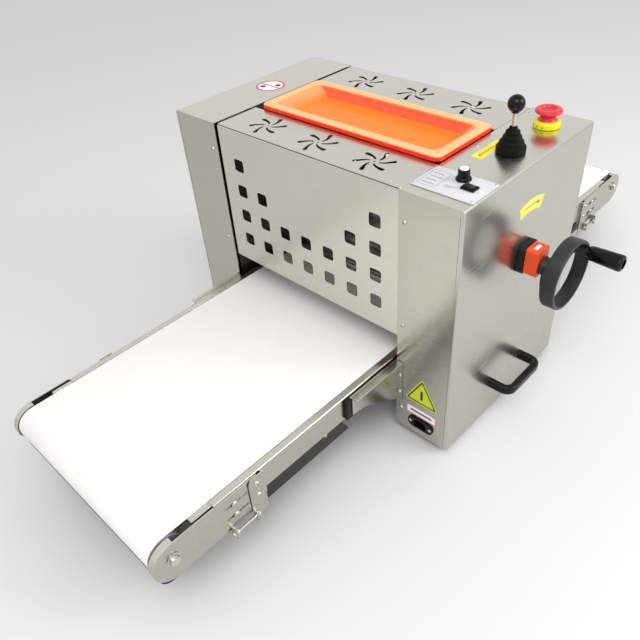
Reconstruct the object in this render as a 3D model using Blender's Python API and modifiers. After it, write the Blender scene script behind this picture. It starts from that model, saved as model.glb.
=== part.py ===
"""Bench dough sheeter: two roll-stand cabinets, two guards, a pair of rolls and two belt tables.

Metres, +Z up. The tables run along Y, the rolls along X, and the feet stand on Z = 0. Every part hangs
from one empty, which puts the middle of the whole machine's footprint on the world origin.
"""

import math

import bmesh
import bpy
from mathutils import Matrix, Vector

NAME = "dough_sheeter"

# Body
FOOT = 0.014  # cabinets' lower edge above the floor
DEPTH = 0.348
HEIGHT = 0.452
TOP = FOOT + HEIGHT
HALF_WIDTH = 0.300
RIGHT_IN = 0.197  # cabinets' faces beside the bay
LEFT_IN = -0.1945
MIDDLE = 0.004  # middle of the bay: guards, rolls, belts
SHEET = 0.0015
SHELL = 0.002
GAP = 0.0003
BEND = 0.004

# Side frames
PLATE = 0.005
RIGHT_FRAME = 0.199  # frames' faces beside the bay
LEFT_FRAME = -0.1965
FRAME_DEPTH = 0.330

# Guards
GUARD_HALF = 0.1920
GUARD_FACE = DEPTH / 2 - 0.0015
GUARD_FOOT = FOOT + 0.1955
GUARD_BEND = 0.005
FRONT_SLOT = 0.0845  # guards' inner edges, from the middle
REAR_SLOT = 0.0630
PIVOT_OUT = 0.0045
PIVOT_DOWN = 0.0067
PIN = 0.0022
HOLE = 0.0222
HOLE_PITCH = 0.0496
HOLE_ROW = 0.048
HOLE_TOP = FOOT + 0.388
HOLE_ROWS = ((0, 6), (0, 1, 5, 6), range(7), range(7))
VENT_PITCH = 0.113
VENT_RADIUS = 0.030

# Flour tray
TRAY_X = (-0.176, 0.1955)
TRAY_Y = (-0.083, 0.0615)
TRAY_RIM = 0.017
TRAY_RISE = 0.009
TRAY_DEEP = 0.020
TRAY_WALL = 0.0025

# Rolls and their adjustment
ROLL = 0.029
ROLL_HALF = 0.183
AXLE = FOOT + 0.120
NIP = 0.001
UPPER = AXLE + 2 * ROLL + NIP
LIFT = 0.012
JOURNAL = 0.010
BLOCK_HALF = 0.0215
BLOCK_OUT = 0.0245
WHEEL_AXIS = FOOT + 0.292
WHEEL_Y = 0.004
SHAFT = 0.006
SCREW = 0.004
SCREW_OUT = 0.0178
MITRE = 0.012

# Belt tables
BELT_TOP = FOOT + 0.149
BELT_HALF = 0.175
BELT = 0.0015
BELT_RADIUS = BELT_TOP - AXLE
PULLEY = BELT_RADIUS - BELT - GAP
INNER_AXLE = 0.062
OUTER_AXLE = 0.6275
WEB = 0.188
RAIL_LOW = FOOT + 0.104
RAIL_END = 0.5535
END_PLATE = WEB + GAP
END_RADIUS = 0.034
END_BACK = 0.480
SLOT_ROWS = (FOOT + 0.1265, FOOT + 0.1035)
SLOT_Y = (0.5000, 0.5415)
TAB_OUT = 0.2008
LUG_OUT = 0.1931
TENSION_X = 0.1968
TENSION_Z = FOOT + 0.076

# Controls
KNOB = Vector((0.2515, -0.1045, 0))
ROCKER = Vector((0.2725, -0.1215, 0))
STICK = Vector((0.254, 0.010, 0))
STOP = Vector((0.2512, 0.118, 0))
RIM_RADIUS = 0.055
RIM_X = (0.358, 0.380)
GRIP_OUT = 0.0475
GRIP_ANGLE = math.radians(25)
GRIP_END = 0.434
HANDLE = FOOT + 0.063
INLET = Vector((0.249, -DEPTH / 2, FOOT + 0.027))

ROUND = 24

STEEL = ("brushed_stainless", (0.62, 0.62, 0.58), 0.32, 1.0)
BRIGHT = ("ground_steel", (0.72, 0.72, 0.70), 0.22, 1.0)
DARK = ("dark_painted_steel", (0.06, 0.06, 0.05), 0.5, 0.3)
BLACK = ("black_plastic", (0.015, 0.015, 0.016), 0.35, 0.0)
GREY = ("grey_composite", (0.05, 0.052, 0.055), 0.5, 0.0)
RUBBER = ("black_rubber", (0.012, 0.012, 0.012), 0.75, 0.0)
WHITE = ("white_belt", (0.86, 0.86, 0.83), 0.55, 0.0)
ORANGE = ("orange_plastic", (0.90, 0.22, 0.03), 0.35, 0.0)
COUNTER = ("counter_orange", (0.85, 0.10, 0.02), 0.35, 0.0)
RED = ("red_plastic", (0.75, 0.02, 0.02), 0.3, 0.0)
YELLOW = ("yellow_plastic", (0.90, 0.75, 0.04), 0.4, 0.0)
PANEL = ("printed_panel", (0.80, 0.81, 0.82), 0.35, 0.2)


# --- Scene and materials ---


def clear_scene():
    for obj in list(bpy.data.objects):
        bpy.data.objects.remove(obj, do_unlink=True)
    for group in list(bpy.data.collections):
        bpy.data.collections.remove(group)


def new_collection(name, hidden=False):
    group = bpy.data.collections.new(name)
    group.hide_render = hidden
    bpy.context.scene.collection.children.link(group)
    return group


def material(spec):
    name, colour, roughness, metallic = spec
    found = bpy.data.materials.get(name)
    if found:
        return found
    made = bpy.data.materials.new(name)
    made.use_nodes = True
    shader = made.node_tree.nodes["Principled BSDF"]
    shader.inputs["Base Color"].default_value = (*colour, 1)
    shader.inputs["Roughness"].default_value = roughness
    shader.inputs["Metallic"].default_value = metallic
    made.diffuse_color = (*colour, 1)
    return made


clear_scene()
PARTS = new_collection(NAME)
CUTTERS = new_collection(NAME + "_cutters", hidden=True)
ORIGIN = bpy.data.objects.new("machine", None)
ORIGIN.location.x = -(GRIP_END - HALF_WIDTH) / 2
PARTS.objects.link(ORIGIN)


def add(name, mesh, spec=None, at=(0, 0, 0), turn=(0, 0, 0)):
    """A part when it has a material, otherwise a hidden cutter or piece to be joined."""
    obj = bpy.data.objects.new(name, mesh)
    obj.location = at
    obj.rotation_euler = turn
    obj.parent = ORIGIN
    if spec:
        PARTS.objects.link(obj)
        mesh.materials.append(material(spec))
        mesh.shade_smooth()
        mesh.set_sharp_from_angle(angle=math.radians(32))
        return obj
    CUTTERS.objects.link(obj)
    obj.hide_render = True
    obj.display_type = "WIRE"
    return obj


# --- Shapes ---


def arc(centre, radius, start, end, steps):
    """Points on an arc, angles in degrees, both ends included."""
    turns = [math.radians(start + (end - start) * i / steps) for i in range(steps + 1)]
    return [(centre[0] + radius * math.cos(a), centre[1] + radius * math.sin(a)) for a in turns]


def rectangle(low, high, radius=0.0, steps=3):
    (x0, y0), (x1, y1) = low, high
    if not radius:
        return [(x0, y0), (x1, y0), (x1, y1), (x0, y1)]
    corners = ((x1, y0, -90), (x1, y1, 0), (x0, y1, 90), (x0, y0, 180))
    points = []
    for x, y, angle in corners:
        centre = (x - math.copysign(radius, x - (x0 + x1) / 2), y - math.copysign(radius, y - (y0 + y1) / 2))
        points += arc(centre, radius, angle, angle + 90, steps)
    return points


def stadium(a, b, z, radius, steps=12):
    """Outline round two equal circles with centres at y = a and y = b."""
    return arc((b, z), radius, -90, 90, steps) + arc((a, z), radius, 90, 270, steps)


def prism_mesh(name, outlines, low, high, plane="XY"):
    """Flat outlines, the first cut by the others inside it, given thickness from low to high."""
    curve = bpy.data.curves.new(name, "CURVE")
    curve.dimensions = "2D"
    curve.fill_mode = "BOTH"
    curve.extrude = (high - low) / 2
    for outline in outlines:
        spline = curve.splines.new("POLY")
        spline.points.add(len(outline) - 1)
        spline.points.foreach_set("co", [v for x, y in outline for v in (x, y, 0, 1)])
        spline.use_cyclic_u = True
    source = bpy.data.objects.new(name, curve)
    PARTS.objects.link(source)
    graph = bpy.context.evaluated_depsgraph_get()
    mesh = bpy.data.meshes.new_from_object(source.evaluated_get(graph))
    bpy.data.objects.remove(source)
    bpy.data.curves.remove(curve)
    axes = {
        "XY": Matrix.Identity(4),
        "YZ": Matrix(((0, 0, 1, 0), (1, 0, 0, 0), (0, 1, 0, 0), (0, 0, 0, 1))),
        "XZ": Matrix(((1, 0, 0, 0), (0, 0, -1, 0), (0, 1, 0, 0), (0, 0, 0, 1))),
    }
    middle = (low + high) / 2
    slide = Matrix.Translation((0, 0, -middle if plane == "XZ" else middle))
    mesh.transform(axes[plane] @ slide)
    work = bmesh.new()
    work.from_mesh(mesh)
    bmesh.ops.remove_doubles(work, verts=work.verts, dist=1e-6)
    bmesh.ops.recalc_face_normals(work, faces=work.faces)
    work.to_mesh(mesh)
    work.free()
    mesh.materials.clear()
    return mesh


def prism(name, outlines, low, high, plane="XY", spec=None, **place):
    if isinstance(outlines[0][0], float | int):
        outlines = [outlines]
    return add(name, prism_mesh(name, outlines, low, high, plane), spec, **place)


def box(name, low, high, spec=None, **place):
    work = bmesh.new()
    bmesh.ops.create_cube(work, size=1)
    size = [b - a for a, b in zip(low, high)]
    middle = [(a + b) / 2 for a, b in zip(low, high)]
    bmesh.ops.transform(work, matrix=Matrix.LocRotScale(middle, None, size), verts=work.verts)
    mesh = bpy.data.meshes.new(name)
    work.to_mesh(mesh)
    work.free()
    return add(name, mesh, spec, **place)


def rod(name, radius, low, high, axis="X", at=(0, 0), spec=None, steps=ROUND):
    """Cylinder along an axis from low to high; at gives its place on the other two axes."""
    work = bmesh.new()
    size = {"radius1": radius, "radius2": radius, "depth": high - low}
    bmesh.ops.create_cone(work, cap_ends=True, segments=steps, **size)
    middle = (low + high) / 2
    moves = {
        "X": Matrix.Translation((middle, *at)) @ Matrix.Rotation(math.pi / 2, 4, "Y"),
        "Y": Matrix.Translation((at[0], middle, at[1])) @ Matrix.Rotation(math.pi / 2, 4, "X"),
        "Z": Matrix.Translation((*at, middle)),
    }
    bmesh.ops.transform(work, matrix=moves[axis], verts=work.verts)
    mesh = bpy.data.meshes.new(name)
    work.to_mesh(mesh)
    work.free()
    return add(name, mesh, spec)


def turned(name, profile, spec=None, steps=ROUND, **place):
    """Profile of (radius, height) points turned about Z, outer side from top to bottom."""
    mesh = bpy.data.meshes.new(name)
    edges = [(i, i + 1) for i in range(len(profile) - 1)]
    if profile[0][0] > 0 and profile[-1][0] > 0:
        edges.append((len(profile) - 1, 0))
    mesh.from_pydata([(r, 0, z) for r, z in profile], edges, [])
    obj = add(name, mesh, spec, **place)
    screw = obj.modifiers.new("turn", "SCREW")
    screw.steps = steps
    screw.render_steps = steps
    screw.use_merge_vertices = True
    screw.merge_threshold = 1e-5
    return obj


def loft(name, loops, spec=None, **place):
    """Closed skin over a run of loops with equal point counts, with a cap on the first and the last."""
    work = bmesh.new()
    rings = [[work.verts.new(p) for p in loop] for loop in loops]
    for first, second in zip(rings, rings[1:]):
        count = len(first)
        for i in range(count):
            j = (i + 1) % count
            work.faces.new((first[i], first[j], second[j], second[i]))
    work.faces.new(rings[0])
    work.faces.new(rings[-1])
    bmesh.ops.recalc_face_normals(work, faces=work.faces)
    mesh = bpy.data.meshes.new(name)
    work.to_mesh(mesh)
    work.free()
    return add(name, mesh, spec, **place)


def combine(obj, others, operation):
    for other in others:
        step = obj.modifiers.new(operation.lower(), "BOOLEAN")
        step.operation = operation
        step.object = other
    return obj


def cut(obj, *others):
    return combine(obj, others, "DIFFERENCE")


def join(obj, *others):
    return combine(obj, others, "UNION")


def round_edges(obj, width, segments=1, angle=35):
    bevel = obj.modifiers.new("edges", "BEVEL")
    bevel.width = width
    bevel.segments = segments
    bevel.limit_method = "ANGLE"
    bevel.angle_limit = math.radians(angle)
    return obj


# --- Cabinets and side frames ---


def cabinet(name, inner, outer):
    """Folded cover, open below and towards the bay, with one rounded bend along its outer top edge."""
    way = math.copysign(1, outer)
    bend = [(outer - way * BEND, TOP - BEND), BEND]
    outside = [(inner, FOOT), (outer, FOOT), *arc(*bend, 0 if way > 0 else 180, 90, 6), (inner, TOP)]
    skin = outer - way * SHELL
    past = inner - way * 0.01
    bend[1] -= SHELL
    inside = [
        (past, FOOT - 0.01),
        (skin, FOOT - 0.01),
        *arc(*bend, 0 if way > 0 else 180, 90, 6),
        (past, TOP - SHELL),
    ]
    cover = prism(name, outside, -DEPTH / 2, DEPTH / 2, "XZ", STEEL)
    hollow = prism(name + "_hollow", inside, SHELL - DEPTH / 2, DEPTH / 2 - SHELL, "XZ")
    return cut(cover, hollow)


def side_frame(name, face, way, cover):
    """Upright roll-stand plate with a foot flange, a tray ledge, two guard pins and the bearing holes."""
    back = face + way * PLATE
    low = (min(face, back), -FRAME_DEPTH / 2, FOOT + GAP)
    high = (max(face, back), FRAME_DEPTH / 2, TOP - 0.0035)
    frame = box(name, low, high, STEEL)
    flange_end = cover - way * (SHELL + GAP)
    flange = box(
        name + "_flange",
        (min(face, flange_end), -FRAME_DEPTH / 2 - 0.006, FOOT + GAP),
        (max(face, flange_end), FRAME_DEPTH / 2 + 0.006, FOOT + 0.0045),
    )
    ledge_end = 0.150 if way > 0 else -0.120
    ledge = box(
        name + "_ledge",
        (min(ledge_end, back), -0.040, TOP - TRAY_DEEP + TRAY_RISE - TRAY_WALL - 0.0034),
        (max(ledge_end, back), 0.020, TOP - TRAY_DEEP + TRAY_RISE - TRAY_WALL - GAP),
    )
    pin_end = MIDDLE + way * 0.188
    pins = [
        rod(f"{name}_pin", PIN, *sorted((pin_end, back)), at=guard_pivot(side), steps=16) for side in (-1, 1)
    ]
    join(frame, flange, ledge, *pins)
    window = rectangle((-BLOCK_HALF - GAP, UPPER - 0.024), (BLOCK_HALF + GAP, UPPER + 0.053))
    ends = (face - 0.02, face + 0.02)
    cutters = [prism(name + "_window", window, *ends, "YZ")]
    bores = [(0, AXLE, JOURNAL), (WHEEL_Y, WHEEL_AXIS, SHAFT)]
    bores += [(side * INNER_AXLE, AXLE, SHAFT) for side in (-1, 1)]
    cutters += [rod(f"{name}_bore", r + GAP, *ends, at=(y, z)) for y, z, r in bores]
    return cut(frame, *cutters)


def base_tie():
    """Cross channel between the frames, whose raised edges are the lower roll's scraper blades."""
    web, skin = FOOT + 0.030, 0.0018
    tip = (0.0198, AXLE - 0.0222)
    half = [(tip[0] + skin, tip[1] - 0.0012), (0.0415, FOOT + 0.049), (0.0415, web)]
    inner = [tip, (0.0415 - skin, FOOT + 0.0485), (0.0415 - skin, web + skin)]
    right = half[::-1] + inner
    left = [(-y, z) for y, z in right[::-1]]
    return prism("base_tie", right + left, LEFT_FRAME + GAP, RIGHT_FRAME - GAP, "YZ", STEEL)


def foot(name, x, y):
    profile = [(0, FOOT - GAP), (0.015, FOOT - GAP), (0.015, 0.006), (0.0135, 0), (0, 0)]
    return turned(name, profile, RUBBER, steps=20, at=(x, y, 0))


# --- Guards and flour tray ---


def guard_pivot(side):
    """Place of a guard's hinge line across the machine, as (y, z)."""
    slot = FRONT_SLOT if side < 0 else REAR_SLOT
    return side * (slot + PIVOT_OUT), TOP - PIVOT_DOWN


def petal(centre, turn):
    """Curved slot of a pinwheel vent: narrow at the middle, wide and round at its outer end."""
    sides = ([], [])
    stations = 5
    for i in range(stations):
        t = i / (stations - 1)
        radius = 0.009 + t * (VENT_RADIUS - 0.011)
        angle = turn - math.radians(27) * (1 - t) ** 1.2
        half = 0.0007 + 0.0018 * t
        for side, points in zip((-1, 1), sides):
            a = angle + side * half / radius
            points.append((centre[0] + radius * math.cos(a), centre[1] + radius * math.sin(a)))
    tip = VENT_RADIUS + 0.0005
    end = (centre[0] + tip * math.cos(turn), centre[1] + tip * math.sin(turn))
    return sides[0] + [end] + sides[1][::-1]


def vent(centre):
    petals = [petal(centre, math.radians(31 + 60 * i)) for i in range(6)]
    return [arc(centre, 0.0016, 0, 315, 7)] + petals


def guard(side):
    """Bent safety cover over half of the bay: a top strip with vents and a front face with square holes."""
    name = table_side(side) + "_guard"
    face, slot = GUARD_FACE, FRONT_SLOT if side < 0 else REAR_SLOT
    centre = (face - GUARD_BEND, TOP - GUARD_BEND)
    section = [(slot, TOP), *arc(centre, GUARD_BEND, 90, 0, 5), (face, GUARD_FOOT)]
    section += [(face - SHEET, GUARD_FOOT), *arc(centre, GUARD_BEND - SHEET, 0, 90, 5), (slot, TOP - SHEET)]
    section = [(side * y, z) for y, z in section]
    ends = (MIDDLE - GUARD_HALF, MIDDLE + GUARD_HALF)
    cover = prism(name, section, *ends, "YZ", STEEL)
    pivot = guard_pivot(side)
    ears = []
    for end, way in zip(ends, (1, -1)):
        low, high = sorted((pivot[0] - side * 0.0045, pivot[0] + side * 0.0085))
        ear = rectangle((low, pivot[1] - 0.0045), (high, TOP - SHEET / 2))
        ears.append(prism(name + "_ear", ear, *sorted((end, end + way * 0.003)), "YZ"))
    join(cover, *ears)
    squares = []
    for row, columns in enumerate(HOLE_ROWS):
        for column in columns:
            x = MIDDLE + (column - 3) * HOLE_PITCH
            z = HOLE_TOP - row * HOLE_ROW
            low = (x - HOLE / 2, z - HOLE / 2)
            squares.append(rectangle(low, (x + HOLE / 2, z + HOLE / 2), 0.004, 2))
    around = sorted((side * (face - 0.006), side * (face + 0.006)))
    holes = prism(name + "_holes", squares, *around, "XZ")
    middle = side * (slot + face) / 2
    slots = [shape for i in (-1, 0, 1) for shape in vent((MIDDLE + i * VENT_PITCH, middle))]
    vents = prism(name + "_vents", slots, TOP - 0.003, TOP + 0.003)
    pins = rod(name + "_pins", PIN + GAP, ends[0] - 0.01, ends[1] + 0.01, at=pivot, steps=16)
    return cut(cover, holes, vents, pins)


def flour_tray():
    """Shallow moulded tray with sloping ends and a hollow turned-down rim."""
    low, high = Vector((TRAY_X[0], TRAY_Y[0])), Vector((TRAY_X[1], TRAY_Y[1]))

    def ring(inset_x, inset_y, height, corner):
        near, far = (low.x + inset_x, low.y + inset_y), (high.x - inset_x, high.y - inset_y)
        outline = rectangle(near, far, corner, 4)
        return [(x, y, TOP + height) for x, y in outline]

    rim, wall, rise = TRAY_RIM, TRAY_WALL, TRAY_RISE
    floor = rise - TRAY_DEEP
    loops = [
        ring(rim + 0.022, rim + 0.008, floor, 0.008),
        ring(rim + 0.019, rim + 0.006, floor + 0.003, 0.010),
        ring(rim + 0.002, rim + 0.001, rise - 0.002, 0.012),
        ring(rim, rim - 0.0015, rise, 0.013),
        ring(0.002, 0.002, rise, 0.010),
        ring(0.0005, 0.0005, rise - 0.0008, 0.0115),
        ring(0, 0, rise - 0.0025, 0.012),
        ring(0, 0, 0.001, 0.012),
        ring(wall, wall, 0.001, 0.0095),
        ring(wall, wall, rise - wall - 0.001, 0.0095),
        ring(rim - wall, rim - wall - 0.001, rise - wall - 0.001, 0.012),
        ring(rim + 0.018, rim + 0.004, floor - wall, 0.010),
    ]
    return loft("flour_tray", loops, ORANGE)


# --- Rolls, carriage and nip adjustment ---


def roll(name, z, right_end, left_end, sprocket):
    """Ground roll with stepped journals, and a chain sprocket inside the left cabinet."""
    left, right = MIDDLE - ROLL_HALF, MIDDLE + ROLL_HALF
    body = rod(name, ROLL, left, right, at=(0, 0), spec=BRIGHT, steps=32)
    body.location = (0, 0, z)
    journal = rod(name + "_journal", JOURNAL, left_end, right_end)
    journal.location = (0, 0, z)
    join(body, journal)
    if sprocket:
        wheel = toothed(name + "_sprocket", 12, 0.0150, 0.0125, left_end + 0.001, left_end + 0.006)
        wheel.location = (0, 0, z)
        join(body, wheel)
    return body


def toothed(name, teeth, tip, root, low, high):
    """Sprocket blank: flat-topped teeth round a disc, thickness along X."""
    points = []
    for i in range(teeth):
        for radius, share in ((root, -0.36), (tip, -0.14), (tip, 0.14), (root, 0.36)):
            a = 2 * math.pi * (i + share) / teeth
            points.append((radius * math.cos(a), radius * math.sin(a)))
    return prism(name, points, low, high, "YZ")


def carriage_block(name, face, way):
    """Bearing block that slides in the frame's window and holds the nut of one lift screw."""
    ends = sorted((face, face + way * BLOCK_OUT))
    block = box(name, (ends[0], -BLOCK_HALF, UPPER - 0.020), (ends[1], BLOCK_HALF, UPPER + 0.036), GREY)
    bore = rod(name + "_bore", JOURNAL + GAP, face - 0.04, face + 0.04, at=(0, UPPER))
    thread = rod(
        name + "_thread",
        SCREW + GAP,
        UPPER + 0.0125,
        UPPER + 0.05,
        "Z",
        at=(face + way * SCREW_OUT, WHEEL_Y),
        steps=16,
    )
    return cut(block, bore, thread)


def upper_scraper(name, side):
    """Bent blade that rides with the upper roll and clears dough from its outer quarter."""
    lean = math.radians(28)
    tip = Vector((side * (ROLL + GAP) * math.cos(lean), (ROLL + GAP) * math.sin(lean)))
    run = Vector((side * 0.042, 0.040))
    skin = Vector((side * 0.0011, -0.0011))
    shelf = Vector((side * 0.012, 0))
    points = [tip, tip + run, tip + run + shelf, tip + run + shelf + Vector((0, -0.0016))]
    points += [tip + run + Vector((side * 0.0007, -0.0016)), tip + skin]
    outline = [(p.x, UPPER + p.y) for p in points]
    blade = prism(name, outline, LEFT_FRAME + 0.0015, RIGHT_FRAME - GAP, "YZ", BRIGHT)
    return blade


def lift_screw(name, x):
    """Screw turned by a mitre gear, with a plain lower end in the carriage's nut."""
    drop = WHEEL_AXIS - UPPER - 0.027
    top = MITRE - 0.0045
    profile = [
        (0, -top),
        (MITRE - 0.0055, -top),
        (MITRE - 0.0005, -MITRE - 0.0005),
        (0.008, -MITRE - 0.0015),
        (0.008, -MITRE - 0.008),
        (SCREW, -MITRE - 0.009),
        (SCREW, -drop + 0.001),
        (SCREW - 0.001, -drop),
        (0, -drop),
    ]
    return turned(name, profile, BRIGHT, steps=20, at=(x, WHEEL_Y, WHEEL_AXIS))


def adjusting_shaft():
    """Cross shaft from the handwheel over both frames, with a mitre gear beside each lift screw."""
    right = RIGHT_FRAME + SCREW_OUT
    left = LEFT_FRAME - SCREW_OUT
    shaft = rod("adjusting_shaft", SHAFT, left - MITRE - 0.006, 0.350, spec=BRIGHT)
    shaft.location = (0, WHEEL_Y, WHEEL_AXIS)
    for x, way in ((right, 1), (left, -1)):
        near = MITRE - 0.0045
        far = MITRE + 0.0005
        back = far + 0.005
        profile = [(0, back), (MITRE - 0.001, back), (MITRE - 0.0005, far), (MITRE - 0.0055, near)]
        profile += [(0, near)]
        turn = (0, way * math.pi / 2, 0)
        gear = turned("adjusting_mitre", profile, steps=20, at=(x, WHEEL_Y, WHEEL_AXIS), turn=turn)
        join(shaft, gear)
    return shaft


def gear_motor():
    """Upright motor on a right-angle gearbox, whose hollow output holds the lower roll's journal."""
    x = 0.2605
    case = box("gear_motor", (x - 0.028, -0.040, FOOT + 0.078), (x + 0.035, 0.040, FOOT + 0.158), DARK)
    round_edges(case, 0.005, 2)
    profile = [(0, 0.268), (0.028, 0.268), (0.034, 0.261), (0.034, 0.170), (0.0355, 0.168), (0.0355, 0.155)]
    can = turned("gear_motor_can", [*profile, (0, 0.155)], at=(x, 0, FOOT))
    sole = box("gear_motor_foot", (x - 0.030, -0.048, FOOT + 0.0052), (x + 0.035, 0.048, FOOT + 0.010))
    post = box("gear_motor_post", (x - 0.020, -0.030, FOOT + 0.009), (x + 0.020, 0.030, FOOT + 0.080))
    boss = rod("gear_motor_boss", 0.018, x - 0.042, x - 0.020, at=(0, AXLE))
    join(case, can, post, sole, boss)
    return cut(case, rod("gear_motor_bore", JOURNAL + GAP, x - 0.05, x + 0.010, at=(0, AXLE)))


def drive_chain():
    """Chain round the lower roll's sprocket and those of both belt drums."""
    reach = 0.0150 + GAP
    outer = stadium(-INNER_AXLE, INNER_AXLE, AXLE, reach + 0.003, 10)
    inner = stadium(-INNER_AXLE, INNER_AXLE, AXLE, reach, 10)
    left = LEFT_FRAME - 0.0185
    return prism("drive_chain", [outer, inner], left, left + 0.005, "YZ", DARK)


# --- Belt tables ---


def table_side(side):
    return "front" if side < 0 else "rear"


def belt(side):
    a, b = sorted((side * INNER_AXLE, side * OUTER_AXLE))
    outer = stadium(a, b, AXLE, BELT_RADIUS)
    inner = stadium(a, b, AXLE, BELT_RADIUS - BELT)
    ends = (MIDDLE - BELT_HALF, MIDDLE + BELT_HALF)
    return prism(table_side(side) + "_belt", [outer, inner], *ends, "YZ", WHITE)


def drive_drum(side):
    """Inner drum of a belt, with long journals in both frames and a sprocket on the left."""
    name = table_side(side) + "_drive_drum"
    place = (0, side * INNER_AXLE, AXLE)
    drum = rod(name, PULLEY, MIDDLE - BELT_HALF - 0.001, MIDDLE + BELT_HALF + 0.001, spec=GREY)
    end = LEFT_FRAME - 0.0200
    journal = rod(name + "_journal", SHAFT, end, RIGHT_FRAME + PLATE + 0.002)
    sprocket = toothed(name + "_sprocket", 12, 0.0150, 0.0125, end + 0.0015, end + 0.0065)
    for piece in (drum, journal, sprocket):
        piece.location = place
    return join(drum, journal, sprocket)


def end_roller(side):
    """Outer roller of a belt, with thin journals through the end plates and a hex head on each end."""
    name = table_side(side) + "_end_roller"
    place = (0, side * OUTER_AXLE, AXLE)
    outside = END_PLATE + SHEET + 0.0005 + GAP
    roller = rod(name, PULLEY, MIDDLE - BELT_HALF - 0.001, MIDDLE + BELT_HALF + 0.001, spec=GREY)
    journal = rod(name + "_journal", 0.005, MIDDLE - outside - 0.002, MIDDLE + outside + 0.002, steps=20)
    heads = []
    for way in (-1, 1):
        ends = sorted((MIDDLE + way * outside, MIDDLE + way * (outside + 0.0062)))
        heads.append(prism(name + "_head", arc((0, 0), 0.0082, 30, 330, 5), *ends, "YZ"))
    for piece in (roller, journal, *heads):
        piece.location = place
    return join(roller, journal, *heads)


def across(way, near, far):
    """Low and high X of something between two distances from the middle of the bay."""
    return sorted((MIDDLE + way * near, MIDDLE + way * far))


def along(side, near, far):
    return sorted((side * near, side * far))


def block(name, x, y, z):
    return box(name, (x[0], y[0], z[0]), (x[1], y[1], z[1]))


def rail(name, side, way):
    """Angle beside the belt, with the clamp screws and the outer lug of the sliding end plate."""
    web = across(way, WEB - 0.002, WEB)
    length = along(side, 0.040, RAIL_END)
    outer = across(way, LUG_OUT - 0.002, LUG_OUT)
    outline = [(0.4700, 0.1470), (0.4940, 0.1470), (0.4980, 0.1380), (0.4980, 0.0665), (0.4700, 0.0665)]
    outline = [(side * y, FOOT + z) for y, z in outline]
    lug_end = along(side, 0.4700, 0.4725)
    tab = block(
        name + "_tab",
        across(way, LUG_OUT - 0.001, TAB_OUT),
        along(side, 0.4950, 0.4975),
        (TENSION_Z - 0.009, TENSION_Z + 0.009),
    )
    bolt = rod(
        name + "_tab_bore",
        0.0023,
        *along(side, 0.48, 0.51),
        "Y",
        at=(MIDDLE + way * TENSION_X, TENSION_Z),
        steps=16,
    )
    lug_height = (FOOT + 0.0930, FOOT + 0.1460)
    pieces = [
        block(name + "_web", web, length, (RAIL_LOW, BELT_TOP)),
        block(name + "_pad", web, along(side, 0.4650, RAIL_END), (FOOT + 0.0920, RAIL_LOW + 0.002)),
        block(name + "_flange", across(way, BELT_HALF + 0.0015, WEB), length, (BELT_TOP - 0.002, BELT_TOP)),
        block(name + "_lug", across(way, WEB - 0.001, LUG_OUT - 0.0005), lug_end, lug_height),
        prism(name + "_lug_plate", outline, *outer, "YZ"),
        cut(tab, bolt),
    ]
    for z in SLOT_ROWS:
        at = (side * 0.5228, z)
        pieces.append(rod(name + "_screw", 0.0020, *across(way, WEB - 0.001, 0.1925), at=at, steps=8))
        pieces.append(rod(name + "_screw_head", 0.0042, *across(way, 0.1907, 0.1932), at=at, steps=10))
    return pieces


def table_frame(side):
    """Slider bed under the belt's upper run, welded between the two rails."""
    name = table_side(side) + "_table_frame"
    top = BELT_TOP - BELT - GAP
    y = along(side, INNER_AXLE + 0.033, OUTER_AXLE - 0.040)
    bed = box(name, (MIDDLE - 0.1845, y[0], top - 0.003), (MIDDLE + 0.1845, y[1], top), STEEL)
    y = along(side, INNER_AXLE + 0.033, RAIL_END - 0.02)
    sill = block(name + "_sill", across(1, 0.001 - WEB, WEB - 0.001), y, (top - 0.006, top - 0.0025))
    rails = [piece for way in (-1, 1) for piece in rail(name, side, way)]
    join(bed, sill, *rails)
    return cut(bed, rod(name + "_bore", SHAFT + GAP, -0.21, 0.21, at=(side * INNER_AXLE, AXLE)))


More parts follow.
